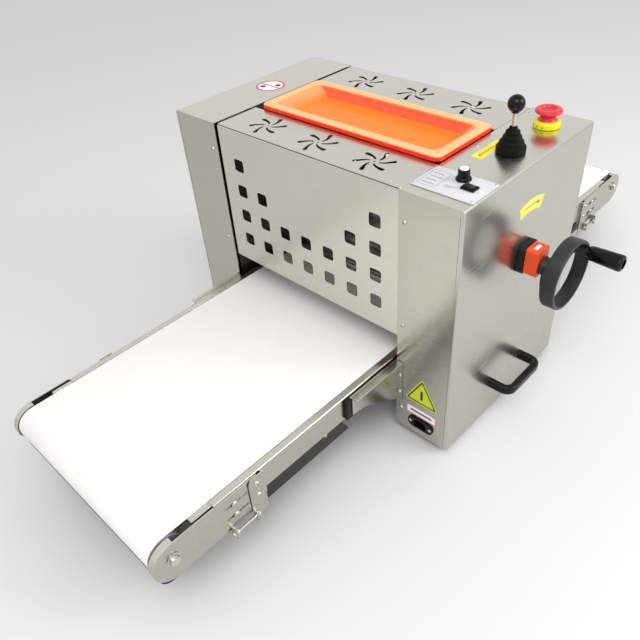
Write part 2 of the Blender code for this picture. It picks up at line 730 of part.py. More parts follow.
def end_plate(side, way):
    """Sliding end plate with a rolled lip over the belt's edge, two clamp slots and a tension bolt."""
    name = f"{table_side(side)}_end_plate_{'right' if way > 0 else 'left'}"
    centre = (OUTER_AXLE - 0.0025, BELT_TOP - 0.0005 - END_RADIUS)
    high = BELT_TOP - 0.0025
    outline = [(END_BACK, centre[1] - END_RADIUS), (END_BACK, high), (0.5540, high)]
    outline += [(0.5560, BELT_TOP - 0.0005), *arc(centre, END_RADIUS, 90, -90, 14)]
    outline = [(side * y, z) for y, z in outline]
    near, far = END_PLATE, END_PLATE + 0.002
    plate = prism(name, outline, *across(way, near, far), "YZ", STEEL)
    lip = [*arc(centre, END_RADIUS, 96, -10, 10), *arc(centre, END_RADIUS - 0.0016, -10, 96, 10)]
    width = across(way, BELT_HALF + 0.0035, near + 0.001)
    lip = prism(name + "_lip", [(side * y, z) for y, z in lip], *width, "YZ")
    tab = block(
        name + "_tab",
        across(way, near + 0.0007, TAB_OUT),
        along(side, 0.5345, 0.5370),
        (TENSION_Z - 0.009, TENSION_Z + 0.0115),
    )
    at = (MIDDLE + way * TENSION_X, TENSION_Z)
    bolt = rod(name + "_bolt", 0.0020, *along(side, 0.4900, 0.5355), "Y", at=at, steps=10)
    head = rod(name + "_bolt_head", 0.0040, *along(side, 0.4910, 0.4947), "Y", at=at, steps=6)
    nut = rod(name + "_bolt_nut", 0.0040, *along(side, 0.5305, 0.5350), "Y", at=at, steps=6)
    join(plate, lip, tab, bolt, head, nut)
    through = across(way, WEB - 0.01, WEB + 0.01)
    y0, y1 = along(side, *SLOT_Y)
    slots = [
        prism(name + "_slot", rectangle((y0, z - 0.0024), (y1, z + 0.0024), 0.0022, 2), *through, "YZ")
        for z in SLOT_ROWS
    ]
    bore = rod(name + "_bore", 0.0053, *through, at=(side * OUTER_AXLE, AXLE), steps=20)
    return cut(plate, bore, *slots)


def under_tray(side):
    """Shallow crumb tray under the returning belt, low at its outer end and sloping at its inner end."""
    name = table_side(side) + "_under_tray"
    low, high = FOOT + 0.0655, FOOT + 0.1070
    corner = 0.018

    def section(skin):
        bend = arc((0.6510 - corner, low + corner), corner - skin, 0, -90, 5)
        above = 0.01 if skin else 0
        top = [(0.3060 + skin, high + above), (0.6030, high + above), (0.6510 - skin, low + 0.022 + above)]
        return [(side * y, z) for y, z in [*top, *bend, (0.2825 + skin, low + skin)]]

    half = 0.1815
    tray = prism(name, section(0.0), MIDDLE - half, MIDDLE + half, "YZ", DARK)
    hollow = prism(name + "_hollow", section(SHEET), MIDDLE - half + SHEET, MIDDLE + half - SHEET, "YZ")
    return cut(tray, hollow)


def bracket(side, way):
    """Gusset with a top flange that carries one side of a table off the cabinet's face."""
    name = f"{table_side(side)}_bracket_{'right' if way > 0 else 'left'}"
    face = DEPTH / 2 + GAP
    high = FOOT + 0.146
    outline = [(0.288, FOOT + 0.111), (0.288, high), (face, high), (face, FOOT + 0.059)]
    outline += [(0.257, FOOT + 0.106)]
    outline = [(side * y, z) for y, z in outline]
    near = 0.195
    gusset = prism(name, outline, *sorted((MIDDLE + way * near, MIDDLE + way * (near + 0.002))), "YZ", STEEL)
    x = sorted((MIDDLE + way * near, MIDDLE + way * (near + 0.0105)))
    y = sorted((side * 0.288, side * face))
    flange = box(name + "_flange", (x[0], y[0], high - 0.002), (x[1], y[1], high))
    y = sorted((side * face, side * (face + 0.002)))
    foot_flange = box(name + "_foot", (x[0], y[0], FOOT + 0.061), (x[1], y[1], high))
    return join(gusset, flange, foot_flange)


def slide_block(side, way):
    """Plastic strip between a rail and its bracket."""
    name = f"{table_side(side)}_slide_block_{'right' if way > 0 else 'left'}"
    x = sorted((MIDDLE + way * (WEB + GAP), MIDDLE + way * (0.195 - GAP)))
    y = sorted((side * (DEPTH / 2 + 0.002), side * 0.298))
    return box(name, (x[0], y[0], FOOT + 0.1045), (x[1], y[1], FOOT + 0.1515), BLACK)


# --- Controls ---


def control_plate():
    low, high = (RIGHT_IN + 0.002, -0.154), (HALF_WIDTH - 0.002, -0.089)
    return prism("control_plate", rectangle(low, high, 0.002, 2), TOP + GAP, TOP + 0.0018, spec=PANEL)


def speed_knob():
    """Skirted knob with a flat light cap."""
    profile = [(0, 0.0165), (0.0068, 0.0165), (0.0078, 0.0155), (0.0084, 0.0045), (0.0108, 0.003)]
    profile += [(0.0110, 0), (0, 0)]
    return turned("speed_knob", profile, BLACK, steps=24, at=KNOB + Vector((0, 0, TOP + 0.0021)))


def rocker_switch():
    """Bezel fixed on the plate, and the rocker in it that tips about its middle."""
    at = ROCKER + Vector((0, 0, TOP + 0.0021))
    low, high = (-0.0105, -0.0080), (0.0105, 0.0080)
    bezel = prism("rocker_bezel", rectangle(low, high, 0.0012, 2), 0, 0.0022, spec=BLACK, at=at)
    cut(bezel, box("rocker_bezel_well", (-0.0086, -0.0062, 0.0006), (0.0086, 0.0062, 0.01), at=at))
    section = [(-0.0079, 0.0026), (0, 0.0010), (0.0079, 0.0010)]
    section += [(0.0079, 0.0034), (0, 0.0026), (-0.0079, 0.0052)]
    prism("rocker_switch", section, -0.0058, 0.0058, "XZ", BLACK, at=at)


def joystick():
    """Stepped rubber boot on the panel, and the ball-ended lever through it."""
    at = STICK + Vector((0, 0, TOP))
    outer = [(0.0040, 0.0375), (0.0050, 0.0370), (0.0056, 0.0330), (0.0095, 0.0315), (0.0098, 0.0275)]
    outer += [(0.0078, 0.0262), (0.0132, 0.0240), (0.0136, 0.0198), (0.0112, 0.0185), (0.0172, 0.0160)]
    outer += [(0.0178, 0.0115), (0.0160, 0.0105), (0.0207, 0.0090), (0.0214, 0.0075), (0.0214, GAP)]
    inner = [(0.0196, GAP), (0.0196, 0.0070), (0.0150, 0.0090), (0.0060, 0.0280), (0.0040, 0.0330)]
    turned("joystick_boot", outer + inner, RUBBER, steps=20, at=at)
    profile = [(0, 0.0816), *arc((0, 0.0694), 0.0122, 75, -60, 9), (0.0062, 0.0560), (0.0032, 0.0545)]
    profile += [(0.0032, 0.0060), (0.0070, 0.0050), (0.0070, 0.0010), (0, 0.0010)]
    turned("joystick_lever", profile, BLACK, steps=20, at=at)


def emergency_stop():
    """Yellow collar, red stem that sinks into it, and the mushroom head that twists on the stem."""
    at = STOP + Vector((0, 0, TOP))
    collar = [(0.0142, 0.0105), (0.0165, 0.0105), (0.0175, 0.0095), (0.0204, 0.0030), (0.0204, GAP)]
    collar += [(0.0100, GAP), (0.0100, 0.0025), (0.0142, 0.0035)]
    turned("emergency_stop_collar", collar, YELLOW, steps=24, at=at)
    stem = [(0, 0.0165), (0.0137, 0.0165), (0.0137, 0.0085), (0.0090, 0.0085), (0.0090, 0.0060), (0, 0.0060)]
    turned("emergency_stop_stem", stem, RED, steps=24, at=at)
    head = [(0, 0.0272), (0.0090, 0.0272), (0.0096, 0.0282), (0.0178, 0.0280), (0.0200, 0.0262)]
    head += [(0.0206, 0.0235), (0.0206, 0.0195), (0.0192, 0.0172), (0.0160, 0.0168), (0, 0.0168)]
    turned("emergency_stop_head", head, RED, steps=24, at=at)


def position_indicator():
    """Backing collar on the cabinet and the counter housing on it, both bored for the shaft."""
    at = (0, WHEEL_Y, WHEEL_AXIS)
    outline = rectangle((-0.021, -0.0185), (0.021, 0.0300), 0.010, 5)
    collar = prism("indicator_collar", outline, HALF_WIDTH + GAP, 0.3105, "YZ", BLACK, at=at)
    outline = rectangle((-0.0165, -0.0165), (0.0165, 0.0280), 0.0045, 3)
    counter = prism("position_indicator", outline, 0.3108, 0.3325, "YZ", COUNTER, at=at)
    bore = rod("indicator_bore", SHAFT + GAP, 0.29, 0.35, at=(WHEEL_Y, WHEEL_AXIS))
    cut(collar, bore)
    cut(counter, bore)
    round_edges(counter, 0.0012, 1)


def handwheel():
    """Wide-rimmed two-spoke wheel with a dished hub, and the pin that the grip turns on."""
    at = (0, WHEEL_Y, WHEEL_AXIS)
    low, high = RIM_X
    radius = RIM_RADIUS
    rim = [(radius - 0.0045, high), (radius - 0.0012, high), (radius, high - 0.0012)]
    rim += [(radius, low + 0.003), (radius - 0.003, low), (radius - 0.006, low)]
    hub = [(0, 0.3535), (0.0100, 0.3535), (0.0125, 0.3500), (0.0150, 0.3335), (0, 0.3335)]
    wheel = turned("handwheel", rim, GREY, steps=40, at=at, turn=(0, math.pi / 2, 0))
    pieces = [turned("handwheel_hub", hub, at=at, turn=(0, math.pi / 2, 0))]
    stations = ((0.004, 0.3440, 0.0100), (0.030, 0.3490, 0.0085), (0.0525, 0.3625, 0.0110))
    for start in (GRIP_ANGLE, GRIP_ANGLE + math.pi):
        out = Vector((0, math.cos(start), math.sin(start)))
        loops = [spoke_loop(Vector((x, 0, 0)) + out * reach, out, half) for reach, x, half in stations]
        pieces.append(loft("handwheel_spoke", loops, at=at))
    y, z = grip_axis()
    pieces.append(rod("handwheel_boss", 0.0075, 0.3600, high + 0.0008, at=(y, z), steps=20))
    pieces.append(rod("handwheel_pin", 0.0030, 0.3600, 0.4200, at=(y, z), steps=16))
    join(wheel, *pieces)
    cut(wheel, rod("handwheel_bore", SHAFT + GAP, 0.32, 0.3505, at=(WHEEL_Y, WHEEL_AXIS)))


def spoke_loop(middle, out, half):
    """Corners of a flat spoke's cross-section."""
    lean, side = Vector((0.0039, 0, 0)), Vector((0, -out.z, out.y)) * half
    return [middle - lean - side, middle - lean + side, middle + lean + side, middle + lean - side]


def grip_axis():
    """Place of the grip's axis as (y, z)."""
    return WHEEL_Y + GRIP_OUT * math.cos(GRIP_ANGLE), WHEEL_AXIS + GRIP_OUT * math.sin(GRIP_ANGLE)


def wheel_grip():
    """Tapered turning grip with a rounded end."""
    start = RIM_X[1] + 0.0012
    length = GRIP_END - start
    profile = [(0, length), (0.0100, length), (0.0122, length - 0.0015), (0.0130, length - 0.0045)]
    profile += [(0.0108, 0.006), (0.0095, 0.001), (0.0088, 0), (0, 0)]
    grip = turned("wheel_grip", profile, BLACK, steps=28, at=(start, *grip_axis()), turn=(0, math.pi / 2, 0))
    cut(grip, rod("wheel_grip_bore", 0.0033, start - 0.01, 0.4205, at=grip_axis(), steps=16))


def side_handle():
    """Bow handle on the right cabinet."""
    x0, x1 = HALF_WIDTH + GAP, 0.343
    outer = [(x0, -0.053), *arc((x1 - 0.012, -0.041), 0.012, -90, 0, 4)]
    outer += [*arc((x1 - 0.012, 0.041), 0.012, 0, 90, 4), (x0, 0.053), (x0, 0.041)]
    inner = [*arc((x1 - 0.016, 0.037), 0.004, 90, 0, 3)]
    inner += [*arc((x1 - 0.016, -0.037), 0.004, 0, -90, 3), (x0, -0.041)]
    handle = prism("side_handle", outer + inner, HANDLE - 0.0085, HANDLE + 0.0085, spec=BLACK)
    return round_edges(handle, 0.0028, 2)


def power_inlet():
    """Flanged appliance inlet with a keyed socket and three blades."""
    outline = rectangle((-0.0250, -0.0115), (0.0250, 0.0115), 0.0095, 4)
    inlet = prism("power_inlet", outline, -0.0028, -GAP, "XZ", BLACK, at=INLET)
    shroud = rectangle((-0.0140, -0.0100), (0.0140, 0.0100))
    body = prism("inlet_body", shroud, -0.001, 0.020, "XZ", at=INLET)
    key = [(-0.0120, -0.0082), (0.0120, -0.0082), (0.0120, 0.0040), (0.0080, 0.0082), (-0.0080, 0.0082)]
    well = prism("inlet_well", [*key, (-0.0120, 0.0040)], -0.006, 0.0165, "XZ", at=INLET)
    join(inlet, body)
    cut(inlet, well)
    blades = [
        box("inlet_blade", (x - 0.001, 0.0065, z - 0.002), (x + 0.001, 0.018, z + 0.002), at=INLET)
        for x, z in ((-0.007, -0.002), (0.007, -0.002), (0, 0.002))
    ]
    return join(inlet, *blades)


# --- Assembly ---


def build():
    right = cabinet("right_cabinet", RIGHT_IN, HALF_WIDTH)
    cabinet("left_cabinet", LEFT_IN, -HALF_WIDTH)
    shaft_hole = rod(
        "cabinet_shaft_hole", 0.008, HALF_WIDTH - 0.01, HALF_WIDTH + 0.01, at=(WHEEL_Y, WHEEL_AXIS)
    )
    inlet_hole = prism(
        "cabinet_inlet_hole", rectangle((-0.0145, -0.0105), (0.0145, 0.0105)), -0.01, 0.01, "XZ", at=INLET
    )
    stick_hole = rod("cabinet_stick_hole", 0.012, TOP - 0.01, TOP + 0.01, "Z", at=STICK.xy)
    cut(right, shaft_hole, inlet_hole, stick_hole)
    side_frame("right_frame", RIGHT_FRAME, 1, HALF_WIDTH)
    side_frame("left_frame", LEFT_FRAME, -1, -HALF_WIDTH)
    base_tie()
    for side in (-1, 1):
        for x in (-0.255, 0.255):
            foot(f"{table_side(side)}_{'left' if x < 0 else 'right'}_foot", x, side * 0.135)
    guard(-1)
    guard(1)
    flour_tray()
    roll("lower_roll", AXLE, 0.245, LEFT_FRAME - 0.0195, True)
    roll("upper_roll", UPPER, RIGHT_FRAME + BLOCK_OUT - 0.002, LEFT_FRAME - BLOCK_OUT + 0.002, False)
    carriage_block("right_carriage_block", RIGHT_FRAME, 1)
    carriage_block("left_carriage_block", LEFT_FRAME, -1)
    lift_screw("right_lift_screw", RIGHT_FRAME + SCREW_OUT)
    lift_screw("left_lift_screw", LEFT_FRAME - SCREW_OUT)
    adjusting_shaft()
    gear_motor()
    drive_chain()
    for side in (-1, 1):
        upper_scraper(table_side(side) + "_upper_scraper", side)
        belt(side)
        drive_drum(side)
        end_roller(side)
        table_frame(side)
        under_tray(side)
        for way in (-1, 1):
            end_plate(side, way)
            bracket(side, way)
            slide_block(side, way)
    control_plate()
    speed_knob()
    rocker_switch()
    joystick()
    emergency_stop()
    position_indicator()
    handwheel()
    wheel_grip()
    side_handle()
    power_inlet()


build()
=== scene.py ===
"""Looks of the bench dough sheeter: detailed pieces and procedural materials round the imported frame."""

import math

import bmesh
import bpy
from mathutils import Matrix, Vector


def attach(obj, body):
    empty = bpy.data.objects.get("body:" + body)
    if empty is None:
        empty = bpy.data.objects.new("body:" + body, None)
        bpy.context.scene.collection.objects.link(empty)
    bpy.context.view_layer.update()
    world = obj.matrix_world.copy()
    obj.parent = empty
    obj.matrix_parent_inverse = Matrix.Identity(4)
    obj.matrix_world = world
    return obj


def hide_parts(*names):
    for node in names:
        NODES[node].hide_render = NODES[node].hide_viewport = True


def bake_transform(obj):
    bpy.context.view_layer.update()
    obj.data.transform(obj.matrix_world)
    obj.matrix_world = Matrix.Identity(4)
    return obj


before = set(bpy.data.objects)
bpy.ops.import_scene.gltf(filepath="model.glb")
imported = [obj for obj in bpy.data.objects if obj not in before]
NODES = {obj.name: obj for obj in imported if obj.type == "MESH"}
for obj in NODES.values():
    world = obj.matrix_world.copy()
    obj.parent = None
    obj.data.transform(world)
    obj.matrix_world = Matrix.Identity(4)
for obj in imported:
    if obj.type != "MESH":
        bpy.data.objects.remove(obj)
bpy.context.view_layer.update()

# Places and sizes in metres, as in the CAD; X is counted from midway between the cabinets' outer faces.
SHIFT_X = -0.067
SHIFT = Matrix.Translation((SHIFT_X, 0, 0))
FOOT = 0.014
DEPTH = 0.348
HALF_DEPTH = DEPTH / 2
TOP = 0.466
HALF_WIDTH = 0.300
RIGHT_IN = 0.197
LEFT_IN = -0.1945
MIDDLE = 0.004
GUARD_HALF = 0.1920
GUARD_FACE = HALF_DEPTH - 0.0015
GUARD_FOOT = FOOT + 0.1955
SLOTS = {-1: 0.0845, 1: 0.0630}
HOLE_ROWS = ((0, 6), (0, 1, 5, 6), range(7), range(7))
AXLE = FOOT + 0.120
END_AXLE = 0.6275
CLAMP_ROWS = (FOOT + 0.1265, FOOT + 0.1035)
HOLE_PITCH, ROW_PITCH, HOLE_HALF = 0.0496, 0.048, 0.0111
BELT_TOP = FOOT + 0.149
WHEEL_Z = FOOT + 0.292
WHEEL_Y = 0.004
GRIP_ANGLE = math.radians(25)
GRIP = (WHEEL_Y + 0.0475 * math.cos(GRIP_ANGLE), WHEEL_Z + 0.0475 * math.sin(GRIP_ANGLE))
STICK = (0.254, 0.010)
STOP = (0.2512, 0.118)
KNOB = (0.2515, -0.1045)
ROCKER = (0.2725, -0.1215)
HANDLE_Z = FOOT + 0.063
INLET = (0.249, FOOT + 0.027)


# --- Materials ---


class Shader:
    """A Principled material and short calls for the nodes that feed it."""

    def __init__(self, name, colour, roughness, metallic=0.0, **sockets):
        self.made = bpy.data.materials.new(name)
        self.made.use_nodes = True
        self.tree = self.made.node_tree
        self.bsdf = self.tree.nodes["Principled BSDF"]
        self.bsdf.inputs["Base Color"].default_value = (*colour, 1)
        self.bsdf.inputs["Roughness"].default_value = roughness
        self.bsdf.inputs["Metallic"].default_value = metallic
        for socket, value in sockets.items():
            self.bsdf.inputs[socket.replace("_", " ")].default_value = value
        self.place = self.tree.nodes.new("ShaderNodeTexCoord")
        self.bumps = None

    def link(self, out, into):
        self.tree.links.new(out, into)

    def feed(self, socket, value):
        """Links an output to the socket, or sets its number, vector or colour."""
        if isinstance(value, bpy.types.NodeSocket):
            self.link(value, socket)
        elif isinstance(value, tuple) and socket.type == "RGBA":
            socket.default_value = (*value, 1)
        else:
            socket.default_value = value

    def node(self, kind, **values):
        made = self.tree.nodes.new("ShaderNode" + kind)
        for name, value in values.items():
            self.feed(made.inputs[name.replace("_", " ")], value)
        return made

    def stretched(self, scale):
        return self.node("Mapping", Scale=scale, Vector=self.place.outputs["Object"]).outputs["Vector"]

    def noise(self, scale, detail=3.0, stretch=(1, 1, 1), roughness=0.5):
        where = self.stretched(stretch)
        return self.node("TexNoise", Scale=scale, Detail=detail, Roughness=roughness,
                         Vector=where).outputs["Fac"]

    def ramp(self, value, low, high, to_low, to_high):
        node = self.node("MapRange", From_Min=low, From_Max=high, To_Min=to_low, To_Max=to_high,
                         Value=value)
        return node.outputs["Result"]

    def maths(self, operation, a, b):
        node = self.node("Math")
        node.operation = operation
        self.feed(node.inputs[0], a)
        self.feed(node.inputs[1], b)
        return node.outputs["Value"]

    def mix(self, factor, a, b):
        """Mix of two colours; the node keeps its colour sockets after those for numbers and vectors."""
        node = self.node("Mix", Factor=factor)
        node.data_type = "RGBA"
        self.feed(node.inputs[6], a)
        self.feed(node.inputs[7], b)
        return node.outputs[2]

    def bump(self, height, strength, distance):
        node = self.node("Bump", Strength=strength, Distance=distance, Height=height)
        if self.bumps:
            self.link(self.bumps, node.inputs["Normal"])
        self.bumps = node.outputs["Normal"]
        self.link(self.bumps, self.bsdf.inputs["Normal"])

    def colour(self, out):
        self.link(out, self.bsdf.inputs["Base Color"])

    def roughness(self, out):
        self.link(out, self.bsdf.inputs["Roughness"])

    def worn_edges(self, bare, low=0.53, high=0.62):
        """bare on convex edges, 0 elsewhere, from the surface's pointiness."""
        return self.ramp(self.node("NewGeometry").outputs["Pointiness"], low, high, 0.0, bare)

    def facing(self, axis):
        """How squarely the surface faces along one axis of the object."""
        split = self.node("SeparateXYZ", Vector=self.place.outputs["Normal"])
        return self.maths("ABSOLUTE", split.outputs[axis], 0.0)


def brushed(name, colour, roughness, spread=0.022, grain=1.0, turned=False, upright_shade=1.0):
    """Brushed sheet or ground bar: long fine scratches, slow cloudiness and faint handling marks."""
    made = Shader(name, colour, roughness, 1.0)
    along_x, along_y = (4, 1500, 1500), (1500, 4, 1500)
    along = made.noise(1.0, 4.0, along_x if turned else along_y, 0.6)
    if not turned:
        other = made.noise(1.0, 4.0, along_x, 0.6)
        square = made.ramp(made.facing("Y"), 0.4, 0.6, 0.0, 1.0)
        near = made.maths("MULTIPLY", along, made.maths("SUBTRACT", 1.0, square))
        along = made.maths("ADD", near, made.maths("MULTIPLY", other, square))
    cloud = made.noise(9.0, 3.0)
    smear = made.noise(34.0, 5.0, (1, 0.6, 1.4))
    scratches = made.ramp(along, 0.35, 0.68, -spread, spread)
    patches = made.ramp(cloud, 0.35, 0.65, -0.03, 0.03)
    marks = made.ramp(smear, 0.56, 0.75, 0.0, 0.05)
    total = made.maths("ADD", made.maths("ADD", scratches, patches), marks)
    made.roughness(made.maths("ADD", total, roughness))
    dark = tuple(v * 0.965 for v in colour)
    tint = made.mix(made.ramp(along, 0.3, 0.7, 0.0, 1.0), dark, colour)
    tint = made.mix(made.ramp(cloud, 0.3, 0.7, 0.0, 0.35), tint, tuple(v * 0.97 for v in colour))
    # Painted shade: upright faces are darkened towards black by the upright_shade amount, so they read
    # darker than the tops.
    if upright_shade < 1.0:
        tint = made.mix(made.ramp(made.facing("Z"), 0.3, 0.7, 1.0 - upright_shade, 0.0), tint, (0, 0, 0))
    made.colour(tint)
    made.bump(along, 0.014 * grain, 0.0001)
    if not turned:
        made.bsdf.inputs["Anisotropic"].default_value = 0.45
        level = made.ramp(made.facing("Z"), 0.4, 0.6, 0.0, 1.0)
        across = made.node("CombineXYZ", X=level, Z=made.maths("SUBTRACT", 1.0, level))
        made.link(across.outputs["Vector"], made.bsdf.inputs["Tangent"])
    return made.made


def moulded(name, colour, roughness, texture=0.12, lighter=1.25, **sockets):
    """Moulded plastic: fine spark-erosion texture, slow gloss changes and paler edges."""
    made = Shader(name, colour, roughness, 0.0, **sockets)
    grain = made.noise(1400.0, 2.0)
    gloss = made.noise(40.0, 3.0)
    dust = made.noise(140.0, 6.0)
    made.roughness(made.maths("ADD", made.ramp(gloss, 0.3, 0.7, -0.05, 0.06), roughness))
    pale = tuple(min(1.0, v * lighter + 0.012) for v in colour)
    tint = made.mix(made.worn_edges(0.5), colour, pale)
    tint = made.mix(made.ramp(dust, 0.55, 0.8, 0.0, 0.18), tint, pale)
    made.colour(tint)
    made.bump(grain, texture, 0.0003)
    return made.made


def belting(name):
    """White coated belt: a fine square weave showing through the coat, a trace of flour and faint rubs."""
    made = Shader(name, (0.80, 0.79, 0.765), 0.5, 0.0, Specular_IOR_Level=0.3)
    waves = []
    for turn in ((0, 0, 0), (0, 0, math.pi / 2)):
        threads = made.node("Mapping", Rotation=turn, Vector=made.place.outputs["Object"]).outputs["Vector"]
        wave = made.node("TexWave", Scale=260.0, Distortion=0.4, Detail=1.0, Vector=threads)
        waves.append(wave.outputs["Fac"])
    weave = made.maths("MULTIPLY", *waves)
    flour = made.noise(18.0, 6.0, (1, 0.35, 1), 0.6)
    rub = made.noise(60.0, 4.0, (2.5, 0.12, 1))
    tint = made.mix(made.ramp(flour, 0.45, 0.75, 0.0, 0.7), (0.80, 0.792, 0.768), (0.84, 0.832, 0.81))
    tint = made.mix(made.ramp(rub, 0.58, 0.8, 0.0, 0.25), tint, (0.73, 0.722, 0.695))
    made.colour(tint)
    made.roughness(made.ramp(flour, 0.3, 0.7, 0.46, 0.6))
    made.bump(weave, 0.10, 0.0002)
    made.bump(flour, 0.03, 0.0006)
    return made.made


def tray_plastic(name):
    """Orange tray moulding with dust patches, and painted light: deep red-orange walls as painted shade,
    lighter level faces, and a rim paler still as a painted highlight.
    """
    made = Shader(name, (0.84, 0.10, 0.010), 0.36, 0.0, Specular_IOR_Level=0.35)
    split = made.node("SeparateXYZ", Vector=made.place.outputs["Object"])
    # Painted highlight: faces at the rim's height are paler than the floor below, which gets painted shade.
    rim_highlight = made.ramp(split.outputs["Z"], TOP - 0.010, TOP + 0.004, 0.0, 1.0)
    # Painted shade: upright walls take the deep red-orange, level faces the lighter colours.
    level = made.ramp(made.facing("Z"), 0.32, 0.85, 0.0, 1.0)
    upper = made.mix(rim_highlight, (0.80, 0.205, 0.012), (0.94, 0.460, 0.205))
    tint = made.mix(level, (0.80, 0.022, 0.002), upper)
    dust = made.noise(110.0, 6.0)
    tint = made.mix(made.ramp(dust, 0.5, 0.8, 0.0, 0.16), tint, (0.90, 0.36, 0.14))
    made.colour(tint)
    made.roughness(made.ramp(made.noise(42.0, 4.0), 0.3, 0.7, 0.30, 0.44))
    made.bump(made.noise(700.0, 2.0), 0.05, 0.0003)
    return made.made


def rubbery(name, colour, roughness):
    made = Shader(name, colour, roughness, 0.0, Specular_IOR_Level=0.1)
    bloom = made.noise(60.0, 6.0)
    made.colour(made.mix(made.ramp(bloom, 0.45, 0.75, 0.0, 0.6), colour,
                         tuple(v * 1.6 + 0.003 for v in colour)))
    made.roughness(made.ramp(bloom, 0.3, 0.7, roughness - 0.06, roughness + 0.1))
    made.bump(made.noise(900.0, 3.0), 0.15, 0.0004)
    return made.made


def coated(name, colour, roughness, metallic=0.0):
    """Painted or blackened metal with orange peel and bare metal on its edges."""
    made = Shader(name, colour, roughness, metallic)
    peel = made.noise(420.0, 2.0)
    grime = made.noise(26.0, 6.0)
    tint = made.mix(made.worn_edges(0.7, 0.54, 0.66), colour, tuple(min(1, v * 2.2 + 0.05) for v in colour))
    tint = made.mix(made.ramp(grime, 0.5, 0.8, 0.0, 0.4), tint, tuple(v * 1.5 + 0.01 for v in colour))
    made.colour(tint)
    made.roughness(made.ramp(grime, 0.3, 0.7, roughness - 0.06, roughness + 0.12))
    made.bump(peel, 0.06, 0.0003)
    return made.made


def printed(name, colour, roughness=0.38):
    """Printed film: a slight print mottle under a smooth face."""
    made = Shader(name, colour, roughness, 0.0)
    mottle = made.noise(260.0, 4.0)
    made.colour(made.mix(made.ramp(mottle, 0.4, 0.7, 0.0, 0.5), colour, tuple(v * 0.93 for v in colour)))
    made.roughness(made.ramp(made.noise(55.0, 3.0), 0.3, 0.7, roughness - 0.05, roughness + 0.08))
    made.bump(mottle, 0.02, 0.0002)
    return made.made


# Painted shade: upright_shade darkens the upright faces of the covers, frames and guards, by a different
# amount in each copy.
STEEL = brushed("cover_steel", (0.680, 0.668, 0.600), 0.25, upright_shade=0.76)
STEEL_FRAME = brushed("frame_steel", (0.660, 0.648, 0.585), 0.26, upright_shade=0.74)
# Painted shade: the frames inside the bay are darkened steel standing for the shade there.
STEEL_INNER_SHADE = brushed("inner_frame_painted_shade", (0.190, 0.183, 0.165), 0.42)
STEEL_GUARD = brushed("guard_steel", (0.665, 0.655, 0.590), 0.25, upright_shade=0.97)
# Painted shade: near-black steel for the guards' inner faces, standing for the shade behind the holes and
# vents.
STEEL_SHADE = brushed("guard_inner_painted_shade", (0.095, 0.088, 0.080), 0.45)
GROUND = brushed("ground_roll_steel", (0.70, 0.70, 0.68), 0.17, 0.03, 0.4, turned=True)
BOLT = brushed("bright_fastener_steel", (0.60, 0.59, 0.54), 0.20, 0.05, 0.6, turned=True)
WHITE = belting("white_coated_belt")
ORANGE = tray_plastic("orange_tray_plastic")
COUNTER = moulded("counter_orange_plastic", (0.80, 0.070, 0.012), 0.3, 0.06, 1.15)
RED = moulded("red_button_plastic", (0.66, 0.018, 0.035), 0.26, 0.03, 1.3)
RED_DEEP = moulded("red_button_centre", (0.40, 0.010, 0.026), 0.35, 0.05, 1.3)
YELLOW = moulded("yellow_collar_plastic", (0.72, 0.66, 0.004), 0.36, 0.04, 1.05)
BLACK = moulded("black_gloss_plastic", (0.003, 0.003, 0.0032), 0.17, 0.03, 1.6, Specular_IOR_Level=0.22)
SATIN = moulded("black_satin_plastic", (0.006, 0.006, 0.0065), 0.42, 0.14, 1.8, Specular_IOR_Level=0.25)
GREY = moulded("wheel_grey_composite", (0.017, 0.019, 0.020), 0.40, 0.16, 1.9, Specular_IOR_Level=0.4)
ROLLER = moulded("roller_grey_plastic", (0.18, 0.18, 0.18), 0.45, 0.1, 1.2)
CAP = moulded("white_cap_plastic", (0.80, 0.80, 0.80), 0.35, 0.04, 1.05)
RUBBER = rubbery("black_boot_rubber", (0.0035, 0.0037, 0.0036), 0.50)
FOOT_RUBBER = rubbery("foot_rubber", (0.014, 0.014, 0.014), 0.75)
DARK = coated("dark_tray_steel", (0.015, 0.0145, 0.0105), 0.40, 0.4)
MOTOR = coated("motor_paint", (0.05, 0.055, 0.06), 0.45)
CHAIN = coated("oiled_chain_steel", (0.10, 0.095, 0.09), 0.35, 0.9)
PANEL = printed("panel_film", (0.56, 0.58, 0.60), 0.34)
INK = printed("panel_grey_ink", (0.13, 0.14, 0.15), 0.4)
FILM_WHITE = printed("sticker_white", (0.86, 0.84, 0.83))
FILM_RED = printed("sticker_red", (0.62, 0.055, 0.095))
FILM_YELLOW = printed("sticker_yellow", (0.80, 0.74, 0.012))
FILM_LIME = printed("sticker_lime", (0.58, 0.66, 0.008))
FILM_PALE = printed("sticker_pale_yellow", (0.72, 0.74, 0.10))
FILM_BLACK = printed("sticker_black", (0.018, 0.018, 0.016))


# --- Meshes ---


def arc(centre, radius, start, end, steps):
    turns = [math.radians(start + (end - start) * i / steps) for i in range(steps + 1)]
    return [(centre[0] + radius * math.cos(a), centre[1] + radius * math.sin(a)) for a in turns]


def rectangle(low, high, radius=0.0, steps=6):
    (x0, y0), (x1, y1) = low, high
    if not radius:
        return [(x0, y0), (x1, y0), (x1, y1), (x0, y1)]
    corners = ((x1, y0, -90), (x1, y1, 0), (x0, y1, 90), (x0, y0, 180))
    points = []
    for x, y, angle in corners:
        centre = (x - math.copysign(radius, x - (x0 + x1) / 2),
                  y - math.copysign(radius, y - (y0 + y1) / 2))
        points += arc(centre, radius, angle, angle + 90, steps)
    return points


def stadium(a, b, z, radius, steps=12):
    return arc((b, z), radius, -90, 90, steps) + arc((a, z), radius, 90, 270, steps)


